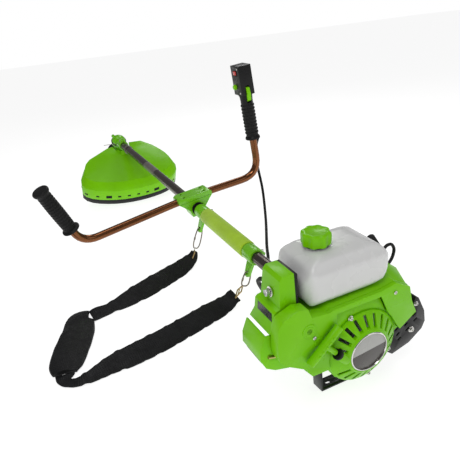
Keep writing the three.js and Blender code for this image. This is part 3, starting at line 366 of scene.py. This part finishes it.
def lathe(profile, at=(0, 0, 0), along=(0, 1, 0), segments=48, into=None, wobble=None):
    """Turned solid, profile of (along, radius). wobble(angle) scales the radius."""
    made = into or bmesh.new()
    along = Vector(along).normalized()
    turn = Vector((0, 0, 1)).rotation_difference(along).to_matrix()
    rings = []
    for distance, radius in profile:
        ring = []
        for k in range(segments):
            angle = 2 * math.pi * k / segments
            r = radius * (wobble(angle) if wobble else 1)
            ring.append(made.verts.new(Vector(at) + turn @ Vector((r * math.cos(angle), r * math.sin(angle),
                                                                   distance))))
        rings.append(ring)
    for a, b in zip(rings, rings[1:]):
        for k in range(segments):
            made.faces.new((a[k], a[(k + 1) % segments], b[(k + 1) % segments], b[k]))
    if profile[0][1] > 0.01:
        made.faces.new(list(reversed(rings[0])))
    if profile[-1][1] > 0.01:
        made.faces.new(rings[-1])
    return made


def sweep(points, section, into=None, closed=False):
    """A section of (across, up) points carried along a path, its frame kept from twisting."""
    made = into or bmesh.new()
    path = [Vector(p) for p in points]
    count = len(path)
    side = None
    rings = []
    for i, point in enumerate(path):
        back = path[(i - 1) % count] if closed or i else path[0]
        ahead = path[(i + 1) % count] if closed or i < count - 1 else path[-1]
        along = (ahead - back).normalized()
        if side is None:
            side = along.orthogonal().normalized()
        side = (side - along * side.dot(along)).normalized()
        lift = side.cross(along)
        rings.append([made.verts.new(point + side * a + lift * b) for a, b in section])
    pairs = list(zip(rings, rings[1:])) + ([(rings[-1], rings[0])] if closed else [])
    size = len(section)
    for a, b in pairs:
        for k in range(size):
            made.faces.new((a[k], a[(k + 1) % size], b[(k + 1) % size], b[k]))
    if not closed:
        made.faces.new(list(reversed(rings[0])))
        made.faces.new(rings[-1])
    return made


def circle(radius, sides=12):
    return [(radius * math.cos(2 * math.pi * k / sides), radius * math.sin(2 * math.pi * k / sides))
            for k in range(sides)]


def curve(points, per=8, closed=False):
    """Catmull-Rom points through the given ones."""
    path = [Vector(p) for p in points]
    count = len(path)
    out = []
    for i in range(count if closed else count - 1):
        if closed:
            p0, p1, p2, p3 = (path[(i + k) % count] for k in (-1, 0, 1, 2))
        else:
            p1, p2 = path[i], path[i + 1]
            p0, p3 = path[max(i - 1, 0)], path[min(i + 2, count - 1)]
        for k in range(per):
            t = k / per
            out.append(0.5 * (2 * p1 + (p2 - p0) * t + (2 * p0 - 5 * p1 + 4 * p2 - p3) * t * t
                              + (3 * p1 - 3 * p2 + p3 - p0) * t ** 3))
    if not closed:
        out.append(path[-1])
    return out


def slab(outline, low, high, frame_axes="XYZ"):
    """A plate of (a, b) points from low to high along the third axis named."""
    made = bmesh.new()
    order = ["XYZ".index(c) for c in frame_axes]

    def place(a, b, c):
        out = [0, 0, 0]
        for index, value in zip(order, (a, b, c)):
            out[index] = value
        return Vector(out)

    bottom = [made.verts.new(place(a, b, low)) for a, b in outline]
    top = [made.verts.new(place(a, b, high)) for a, b in outline]
    count = len(outline)
    made.faces.new(list(reversed(bottom)))
    made.faces.new(top)
    for k in range(count):
        made.faces.new((bottom[k], bottom[(k + 1) % count], top[(k + 1) % count], top[k]))
    return made


def turned(name, look, at, along, profile, segments=48, body="machine", where=MACHINE, wobble=None, **finish):
    """A turned piece of its own."""
    made = lathe(profile, at, along, segments, wobble=wobble)
    return put(name, made, look, body, where=where, **finish)


def screw(name, at, along, radius, height, look="chrome", where=MACHINE):
    """A cap screw with a washer face, a rounded head and a round socket."""
    made = lathe([(-1.5, radius * 1.35), (0, radius * 1.35), (0.01, radius), (height * 0.75, radius),
                  (height, radius * 0.8), (height, radius * 0.5), (height * 0.45, radius * 0.45),
                  (height * 0.45, CENTRE)], at, along, 24)
    return put(name, made, look, where=where)


# ---- plain CAD pieces --------------------------------------------------------------------------

LOOKS = {
    "green": ["recoil_cover", "starter_handle", "engine_cover", "air_filter_cover", "leg_guard", "guard",
              "lockout_lever"],
    "green_metal": ["clamp_base", "clamp_cap", "rear_hanger", "front_hanger", "gearcase"],
    "black": ["starter_pulley", "ignition_coil", "air_filter_base", "choke_lever", "shaft_bush",
              "throttle_handle", "throttle_trigger", "trimmer_head", "bump_knob", "guard_skirt",
              "clutch_housing"],
    "rubber": ["plug_boot", "ignition_lead", "throttle_cable"],
    "black_steel": ["muffler_guard", "engine_stand"],
    "cast": ["crankcase", "cylinder", "flywheel_fan", "carburettor"],
    "steel": ["crankshaft", "piston", "spark_plug", "air_filter_screw", "clutch_shoes", "clutch_drum",
              "drive_shaft", "pinion_gear", "output_gear", "muffler"],
    "tube": ["shaft_tube"],
    "bar": ["handlebar"],
    "filter": ["air_filter_element"],
    "red": ["stop_switch"],
    "badge": ["recoil_badge"],
}
ROUNDER = {"engine_cover": 0.0022, "air_filter_cover": 0.0024, "leg_guard": 0.0016, "guard": 0.0016,
           "muffler_guard": 0.0014, "starter_handle": 0.0016, "throttle_handle": 0.0022, "clamp_cap": 0.0034,
           "clamp_base": 0.0034, "throttle_cable": 0, "ignition_lead": 0, "handlebar": 0, "shaft_tube": 0,
           "drive_shaft": 0, "gearcase": 0.0012, "recoil_cover": 0.0008}
for look, names in LOOKS.items():
    for node in names:
        dress(node, look, ROUNDER.get(node, 0.0006))

# ---- fuel tank and cap -------------------------------------------------------------------------


def softened(name, node, look, voxel, passes, drop):
    """A moulding with generous radii, from the CAD solid's outside."""
    made = bmesh.new()
    made.from_mesh(NODES[node].data)
    bmesh.ops.remove_doubles(made, verts=made.verts, dist=1e-5)
    bmesh.ops.delete(made, geom=[v for v in made.verts if drop(v.co)], context="VERTS")
    found = bmesh.ops.convex_hull(made, input=made.verts)
    left_over = found["geom_interior"] + found["geom_unused"]
    spare = {g for g in left_over if isinstance(g, bmesh.types.BMVert)}
    bmesh.ops.delete(made, geom=list(spare), context="VERTS")
    data = bpy.data.meshes.new(name)
    made.to_mesh(data)
    made.free()
    piece = bpy.data.objects.new(name, data)
    bpy.context.scene.collection.objects.link(piece)
    remesh = piece.modifiers.new("remesh", "REMESH")
    remesh.mode, remesh.voxel_size = "VOXEL", voxel
    smooth = piece.modifiers.new("smooth", "SMOOTH")
    smooth.factor, smooth.iterations = 0.5, passes
    evaluated = piece.evaluated_get(bpy.context.evaluated_depsgraph_get())
    final = bpy.data.meshes.new_from_object(evaluated)
    bpy.data.objects.remove(piece)
    final.name = name
    final.materials.clear()
    return put(name, final, look, replaces=(node,))


TANK_NECK_DROP = 0.0165
neck_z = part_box("fuel_tank")[1].z - TANK_NECK_DROP
softened("tank_body", "fuel_tank", "tank", voxel=0.0028, passes=16, drop=lambda p: p.z > neck_z + 0.004)
CAP = (80, 47, 0)
turned("tank_neck", "tank", CAP, UP, [(172, 19), (178, 19), (179, 17.2), (190, 17.2), (190, 14), (176, 14)])


def lobed(angle):
    lobes, depth = 8, 0.055
    return 1 + depth * math.cos(lobes * angle)


turned("cap_body", "green", CAP, UP,
       [(178.0, 17.6), (178.0, 21.6), (179.2, 22.6), (193, 23.2), (197.4, 22.6), (199.3, 20.6), (199.8, 17.5),
        (198.7, 15.5), (198.5, CENTRE)],
       96, "fuel_cap", wobble=lobed, bevel=0.0003, replaces=("fuel_cap",))
turned("cap_skirt", "black", CAP, UP, [(177.4, 18), (177.4, 21.5), (178.6, 21.5), (178.6, 18)], 64,
       "fuel_cap")

# ---- starter -----------------------------------------------------------------------------------

BADGE = (0.8, 0, 0)
GUIDE = Vector((8.8, 48, 5))
PULL = Vector((0, 0.675, 0.738))
ROPE = {"radius": 1.8, "start": -14, "end": 38, "held_to": -8, "free_from": 34}

turned("badge_ring", "chrome", BADGE, FORWARD,
       [(1.2, 36.4), (-0.2, 36.2), (-0.9, 35.4), (-0.9, 34.2), (0.6, 33.6), (1.2, 34)], 96)
for k, (y, z) in enumerate(((52, -26), (-16, -64), (-56, -30), (24, 62))):
    screw(f"starter_screw_{k}", (19.5, y * 1.02, z * 1.02), REARWARD, 3.4, 3)
turned("cover_lip", "green", BADGE, FORWARD,
       [(1.6, 36.7), (-0.1, 36.7), (-0.3, 37.6), (0.6, 39.2), (3.4, 41.2), (3.6, 38.5)], 96)


def on_rope(distance):
    return GUIDE + PULL * distance


# The rope pays out between the guide and the handle.
steps = 65
profile = [((ROPE["end"] - ROPE["start"]) * k / steps, ROPE["radius"]) for k in range(steps + 1)]
rope = turned("starter_cord", "webbing", on_rope(ROPE["start"]), PULL, profile, 14, None,
              replaces=("starter_rope",))
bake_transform(rope)
turned("rope_ferrule", "black", GUIDE, PULL,
       [(10, 5.2), (10, 9.4), (13.5, 9.4), (14.5, 7.5), (14.5, 3.2), (9, 3.2)], 40)
ACROSS_PULL = Vector((0, 0.738, -0.675))
for k in range(5):
    spot = on_rope(52) + ACROSS_PULL * (k - 2) * 9
    spot.x = -0.1
    turned(f"handle_rib_{k}", "green", spot, REARWARD,
           [(-0.5, 2.6), (0.9, 2.6), (1.3, 2.0), (1.3, CENTRE)], 20, "pull_handle")

# ---- engine cover details ----------------------------------------------------------------------

for k, (y, z) in enumerate(((96, 58), (-60, 84))):
    screw(f"cover_screw_{k}", (15.6, y, z), REARWARD, 3.2, 2.6)
PLUG = (15.0, 104.7, 73.4)
# Painted shade: a dark ring paints the shade down in the groove round the plug face.
turned("plug_groove_shade", "painted_shade", PLUG, REARWARD, [(-0.4, 8.6), (-0.4, 10.6), (0.3, 10.6), (0.3, 8.6)])
turned("plug_rim", "green", PLUG, REARWARD,
       [(-0.4, 10.4), (-0.4, 12.6), (0.9, 12.2), (1.1, 11.4), (0.9, 10.6)])
turned("plug_face", "green", PLUG, REARWARD,
       [(-0.4, 8.6), (0.8, 8.6), (1.4, 7.8), (1.4, 5), (0.9, 4.6), (0.9, CENTRE)])
LABEL_SLOPE = math.radians(-116.6)
put("guard_label", slab([(-17, -8), (17, -8), (17, 8), (-17, 8)], 0, 0.4), "faded",
    where=MACHINE @ Matrix.Translation((70, 172.7, 20.9)) @ Matrix.Rotation(LABEL_SLOPE, 4, "X"))
turned("drain_pipe", "brass", (38.4, 164.4, 34), (0.1, -1, -0.35),
       [(0, 2.6), (15, 2.6), (15.6, 2), (15.6, CENTRE)], 20)

# ---- air cleaner -------------------------------------------------------------------------------

BAND_SLOPE = math.radians(4.8)
put("filter_label", slab([(46, -7), (90, -7), (89, 7), (47, 7)], 0, 0.7, frame_axes="XZY"), "dark_label",
    where=MACHINE @ Matrix.Translation((0, 150.0, 97)) @ Matrix.Rotation(BAND_SLOPE, 4, "X"))
turned("filter_washer", "chrome", (68, 139.2, 128), (0, 1, 0.08),
       [(0, 8.4), (1.0, 8.4), (1.4, 7.4), (1.4, 5)], 40)

# ---- exhaust -----------------------------------------------------------------------------------

screw("guard_screw_0", (29.8, -118, -22), REARWARD, 4.2, 3.4)
screw("guard_screw_1", (29.8, -124, 30), REARWARD, 3.2, 2.6)
screw("guard_screw_2", (80, -131.5, 39), (0, -0.85, 0.5), 3.4, 2.6)

# ---- shaft -------------------------------------------------------------------------------------

ON_SHAFT = (0, 0, 0)
foam = turned("foam_grip", "foam", ON_SHAFT, FORWARD,
              [(419.5, 14.6), (419.5, 19), (421, 20.6), (424, 21), (651, 21), (654, 20.6), (655.5, 19),
               (655.5, 14.6)], 56, replaces=("foam_sleeve",))
for k, x in enumerate((FRONT_HANGER, REAR_HANGER)):
    screw(f"hanger_bolt_{k}", (x, -22.5, 8.2), UP, 3.4, 4, where=LUG)
    screw(f"hanger_nut_{k}", (x, -22.5, -8.2), (0, 0, -1), 3.4, 3, where=LUG)
turned("tube_label", "label", ON_SHAFT, FORWARD, [(1078, 14.05), (1078, 14.25), (1190, 14.25), (1190, 14.05)])
turned("cable_clip", "label", ON_SHAFT, FORWARD,
       [(1432, 14.1), (1432, 16.4), (1433, 16.9), (1443, 16.9), (1444, 16.4), (1444, 14.1)], 40)
CLAMP_X = 740
for k, (dx, y) in enumerate(((-14, -30), (-14, 30), (14, -30), (14, 30))):
    screw(f"clamp_screw_{k}", (CLAMP_X + dx, y, 37.2), UP, 3.2, 2.6, look="black_steel", where=ROLLED)
turned("clamp_bush", "rubber", ON_SHAFT, FORWARD,
       [(713.6, 14.1), (713.6, 18.0), (714.2, 18.6), (716.4, 18.6), (716.4, 14.1)])

# ---- grips -------------------------------------------------------------------------------------


def grip_profile():
    out = [(0, 11), (0, 22), (0.8, 23), (3.2, 23), (4.6, 21.5), (6.5, 17.4)]
    ribs, pitch, rise = 13, 8.4, 1.0
    for k in range(ribs):
        start = 9 + pitch * k
        swell = 16.2 + 0.8 * math.sin(math.pi * k / (ribs - 1))
        out += [(start, swell), (start + 1.2, swell + rise), (start + 4.6, swell + rise),
                (start + 5.8, swell)]
    return out + [(121, 17), (124, 19.4), (127, 20.8), (131, 20.6), (133.4, 18.8), (134, 15), (134, CENTRE)]


ALONG_GRIP = (0, 1, 0)
turned("left_grip_rubber", "rubber", (0, 0, 0), ALONG_GRIP, grip_profile(), 56, bevel=0.0002, where=GRIP,
       replaces=("left_grip",))
for k in range(9):
    turned(f"handle_ring_{k}", "rubber", (0, 17 + 9.6 * k, 0), ALONG_GRIP,
           [(0, 15), (0, 18.4), (0.8, 19.0), (3.6, 19.0), (4.4, 18.4), (4.4, 15)], where=HANDLE)
HANDLE_SIDE = 19
turned("half_throttle_button", "green", (14, 148, 0.6 - HANDLE_SIDE), (0, 0, -1),
       [(0, 7), (5, 7), (7, 6), (8, 4.4), (8, CENTRE)], 32, where=HANDLE)
put("switch_frame", sweep([(-5.6, 178.5, 0), (13.6, 178.5, 0), (13.6, 193.5, 0), (-5.6, 193.5, 0)],
                          [(1, -1), (1, 1), (-1, 1), (-1, -1)], closed=True), "black",
    where=HANDLE @ Matrix.Translation((0, 0, -HANDLE_SIDE)))
for k, y in enumerate((134, 197)):
    screw(f"handle_screw_{k}", (-12, y, 0.1 - HANDLE_SIDE), (0, 0, -1), 2.6, 1.6, where=HANDLE)
    screw(f"handle_screw_r{k}", (-12, y, HANDLE_SIDE - 0.1), UP, 2.6, 1.6, where=HANDLE)

# ---- cutting head ------------------------------------------------------------------------------

turned("head_collar", "black", (0, 0, 0), UP,
       [(1.0, 24.4), (1.0, 30), (2.4, 31), (6.6, 31), (8, 30), (8, 24.4)], 56, where=HEAD)
for k in range(3):
    angle = math.radians(60 + 60 * k)
    spot = (27 * math.cos(angle), 27 * math.sin(angle), 8.2)
    screw(f"head_bolt_{k}", spot, UP, 2.4, 2.2, where=HEAD)

# Painted shade: dark slabs along the guard's rim paint the shade inside its vents, and two wider ones.
GUARD_MIDDLE = Vector((-60, 0, -52))
VENT_TOP, VENT_FOOT, VENT_STEP = -45, -60, 11
HEAD_TURN = HEAD.to_3x3() * 1000
guard_mesh = NODES["guard"].data
rim_skin = BVHTree.FromPolygons([NODES["guard"].matrix_world @ v.co for v in guard_mesh.vertices],
                                [tuple(f.vertices) for f in guard_mesh.polygons])


def on_rim(degrees, height):
    """The point of the guard's outside at an angle round its middle, in millimetres of the head frame."""
    reach = 260
    angle = math.radians(degrees)
    out = Vector((math.cos(angle), math.sin(angle), 0))
    start = Vector((GUARD_MIDDLE.x, 0, height)) + out * reach
    hit = rim_skin.ray_cast(HEAD @ start, HEAD_TURN @ -out)[0]
    return HEAD.inverted() @ hit


# Each vent is a dark slab laid on the rim's outside: painted shade, not an opening.
def rim_vent_shade(k):
    length, height = (22, 15) if k in (-3, 2) else (12, 7.6)
    angle = 180 + VENT_STEP * k
    upper, lower = on_rim(angle, VENT_TOP), on_rim(angle, VENT_FOOT)
    middle, down = (upper + lower) / 2, (lower - upper).normalized()
    aside = (on_rim(angle + 2, VENT_TOP) - on_rim(angle - 2, VENT_TOP)).normalized()
    out = aside.cross(down).normalized()
    if out.dot(middle - GUARD_MIDDLE) < 0:
        out = -out
    basis = Matrix((aside, down, out)).transposed().to_4x4()
    a, b = length / 2, height / 2
    put(f"rim_vent_shade_{k + 7}", slab([(-a, -b), (a, -b), (a, b), (-a, b)], -1.2, 0.35), "painted_shade",
        where=HEAD @ Matrix.Translation(middle) @ basis)


for k in range(-7, 8):
    rim_vent_shade(k)
screw("clamp_bolt_head", (1521, 9.2, 20), (0, 1, 0), 3.4, 3.6)
for k, side in enumerate((1, -1)):
    points = curve([(48 * side, 0, -72), (60 * side, 6, -74), (72 * side, 22 * side, -78),
                    (80 * side, 44 * side, -84)], 5)
    put(f"line_{k}", sweep(points, circle(1.2, 8)), "label", "cutting_head", where=HEAD)

# ---- rings and buckle --------------------------------------------------------------------------

RING = {"wire": 1.7, "half": 10, "top": -41.4}


def wire_ring(name, node, x, body, bottom):
    """A pear-shaped spring ring: narrow where it hangs, wide at its foot, with a riveted gate."""
    wire, half, top = RING["wire"], RING["half"], RING["top"]
    middle = (top + bottom) / 2
    shoulder, hip = middle + (top - middle) * 0.25, middle - (middle - bottom) * 0.55
    right = [(half * 0.6, top - 4), (half * 0.92, shoulder), (half * 0.95, hip), (half * 0.55, bottom + 2.6)]
    left = [(-y, z) for y, z in reversed(right)]
    shape = [(0, top - wire), *right, (0, bottom + wire), *left]
    made = sweep(curve([(x, y, z) for y, z in shape], 6, closed=True), circle(wire, 10), closed=True)
    lathe([(0, wire + 0.2), (0.5, wire + 0.7), (7, wire + 0.7), (7.5, wire + 0.2)],
          (x, half * 0.94, middle - 6), UP, 16, into=made)
    put(name, made, "ring", body, where=LUG, replaces=(node,))


wire_ring("rear_ring_wire", "rear_hook", REAR_HANGER, "rear_ring", -82)
wire_ring("front_ring_wire", "front_hook", FRONT_HANGER, "front_ring", -106)


def buckle(name, at, out, across, size, replaces=()):
    """A square wire frame with a middle bar, where the webbing folds back."""
    at, out, across = Vector(at), Vector(out).normalized(), Vector(across).normalized()
    width, length = size
    corners = [(-width, 0), (width, 0), (width * 0.8, length), (-width * 0.8, length)]
    path = []
    for k, (a, b) in enumerate(corners):
        before, after = corners[k - 1], corners[(k + 1) % 4]
        for t, (p, q) in ((0.12, before), (0.0, (a, b)), (0.12, after)):
            path.append(at + across * (a + (p - a) * t) + out * (b + (q - b) * t))
    made = sweep(curve(path, 3, closed=True), circle(1.7, 10), closed=True)
    middle, half_bar = at + out * length * 0.45, across * width * 0.92
    sweep([middle - half_bar, middle + half_bar], circle(1.4, 10), into=made)
    put(name, made, "brass", where=FLOOR_MM, replaces=replaces)


buckle("buckle_frame", (336, 45, 35), (-10, -15, 17), (15, -10, 0), (18, 20), ("strap_buckle",))
buckle("front_strap_end", (614, 47, 30), (-4, -11, 22), (11, -4, 0), (10, 18))

# ---- harness -----------------------------------------------------------------------------------


def band(name, points, thickness, replaces, ripple, seed, edge=1.0, crown=0.0):
    """Flat webbing through (x, y, z, half width, twist in degrees), with rolled edges and small creases.
    Its UV runs in metres along and across."""
    spots = curve([Vector(p[:3]) for p in points], 10)
    extra = curve([Vector((p[3], p[4], 0)) for p in points], 10)
    made = bmesh.new()
    layer = made.loops.layers.uv.new("UVMap")
    half_section = [-1, -0.985, -0.93, -0.8, -0.55, -0.28, 0, 0.28, 0.55, 0.8, 0.93, 0.985, 1]
    rings, travelled = [], 0.0
    for i, (spot, more) in enumerate(zip(spots, extra)):
        if i:
            travelled += (spot - spots[i - 1]).length
        along = spots[min(i + 1, len(spots) - 1)] - spots[max(i - 1, 0)]
        flat = Vector((-along.y, along.x, 0)).normalized()
        turn = Matrix.Rotation(math.radians(more.y), 3, along.normalized())
        across = turn @ flat
        normal = across.cross(along.normalized()) * -1
        if normal.z < 0:
            normal = -normal
        half = more.x
        ring = []
        for side in (1, -1):
            for t in half_section if side > 0 else reversed(half_section[1:-1]):
                fall = 1 - abs(t) ** 6
                rise = 0
                if side > 0:
                    rise = thickness * (0.35 + 0.65 * fall) + crown * (1 - t * t)
                    if 0.8 < abs(t) < 0.98:
                        rise += edge * 0.5
                fine, slow = travelled * 0.11 * seed + 3.1 * t, travelled * 0.043 + seed
                crease = ripple * math.sin(fine) * math.sin(slow)
                point = spot + across * half * t + Vector((0, 0, 1)) * max(0.0, crease) * 0.5 + normal * rise
                ring.append((made.verts.new(point), t * half * 0.001))
        rings.append((ring, travelled * 0.001))
    for (a, ua), (b, ub) in zip(rings, rings[1:]):
        size = len(a)
        for k in range(size):
            n = (k + 1) % size
            face = made.faces.new((a[k][0], a[n][0], b[n][0], b[k][0]))
            values = ((ua, a[k][1]), (ua, a[n][1]), (ub, b[n][1]), (ub, b[k][1]))
            for loop, value in zip(face.loops, values):
                loop[layer].uv = value
    made.faces.new([vert for vert, _ in reversed(rings[0][0])])
    made.faces.new([vert for vert, _ in rings[-1][0]])
    return put(name, made, "webbing", where=FLOOR_MM, replaces=replaces)


FRONT = [(616, 38, 43, 9, -60), (612, 52, 25, 17, -52), (596, 90, 15, 23, -42), (566, 150, 15, 25, -38),
         (538, 210, 15, 25, -38), (518, 264, 13, 21, -38), (508, 308, 9, 15, -36), (503.5, 342, 9, 19, -24),
         (502, 358, 6, 22, -8)]
SHOULDER = [(501.4, 365, 4, 25, -4), (499.5, 384, 6, 32, -6), (440, 400, 8, 36, -10), (380, 424, 8, 37, -10),
            (330, 444, 6, 34, -6), (307, 450, 3, 24, 0)]
REAR = [(304.6, 450.4, 3, 20, 0), (286, 454, 3, 14, 0), (268, 442, 4, 11, 10), (260, 416, 8, 12, 30),
        (264, 386, 11, 16, 38), (270, 356, 13, 20, 38), (272, 320, 15, 23, 38), (284, 260, 15, 24, 38),
        (304, 190, 15, 24, 38), (326, 120, 15, 24, 38), (336, 86, 15, 22, 42), (340, 64, 20, 19, 46),
        (336.5, 47, 33, 18, 50)]
STRAP = 2.4
band("front_webbing", FRONT, STRAP, ("strap_front",), ripple=5, seed=1.3)
pad = band("shoulder_padding", SHOULDER, 7.0, ("shoulder_pad",), ripple=3, seed=0.7, edge=2.2, crown=4.0)
band("rear_webbing", REAR, STRAP, ("strap_rear",), ripple=5, seed=1.9)

# ---- stage -------------------------------------------------------------------------------------


def stage():
    size = 40
    made = bpy.data.meshes.new("floor")
    corners = [(-size, -size, 0), (size, -size, 0), (size, size, 0), (-size, size, 0)]
    made.from_pydata(corners, [], [(0, 1, 2, 3)])
    floor = bpy.data.objects.new("floor", made)
    floor.location.z = -0.0006
    bpy.context.scene.collection.objects.link(floor)
    shader = MAT["floor"].node_tree.nodes["Principled BSDF"]
    shader.inputs["Emission Color"].default_value = (1, 1, 1, 1)
    shader.inputs["Emission Strength"].default_value = 0.86
    made.materials.append(MAT["floor"])
    world = bpy.data.worlds.new("studio")
    bpy.context.scene.world = world
    world.use_nodes = True
    tree = world.node_tree
    sky = tree.nodes["Background"]
    sky.inputs["Color"].default_value = (1, 1, 1, 1)
    rays = tree.nodes.new("ShaderNodeLightPath")
    level = tree.nodes.new("ShaderNodeMapRange")
    level.inputs["To Min"].default_value, level.inputs["To Max"].default_value = 0.20, 1.0
    tree.links.new(rays.outputs["Is Camera Ray"], level.inputs["Value"])
    tree.links.new(level.outputs["Result"], sky.inputs["Strength"])
    lights = (("key", (-1.1, 1.0, 2.4), 20, 1.0), ("fill", (-1.8, -1.6, 1.8), 7, 1.6),
              ("rim", (2.4, -1.2, 2.2), 14, 1.0), ("top", (0.6, 0.3, 3.2), 16, 1.6))
    for name, place, power, width in lights:
        data = bpy.data.lights.new(name, "AREA")
        data.energy, data.size = power, width
        lamp = bpy.data.objects.new(name, data)
        lamp.location = place
        lamp.rotation_euler = (Vector((0.5, 0.1, 0.15)) - Vector(place)).to_track_quat("-Z", "Y").to_euler()
        bpy.context.scene.collection.objects.link(lamp)
    bpy.context.scene.view_settings.view_transform = "Standard"


stage()
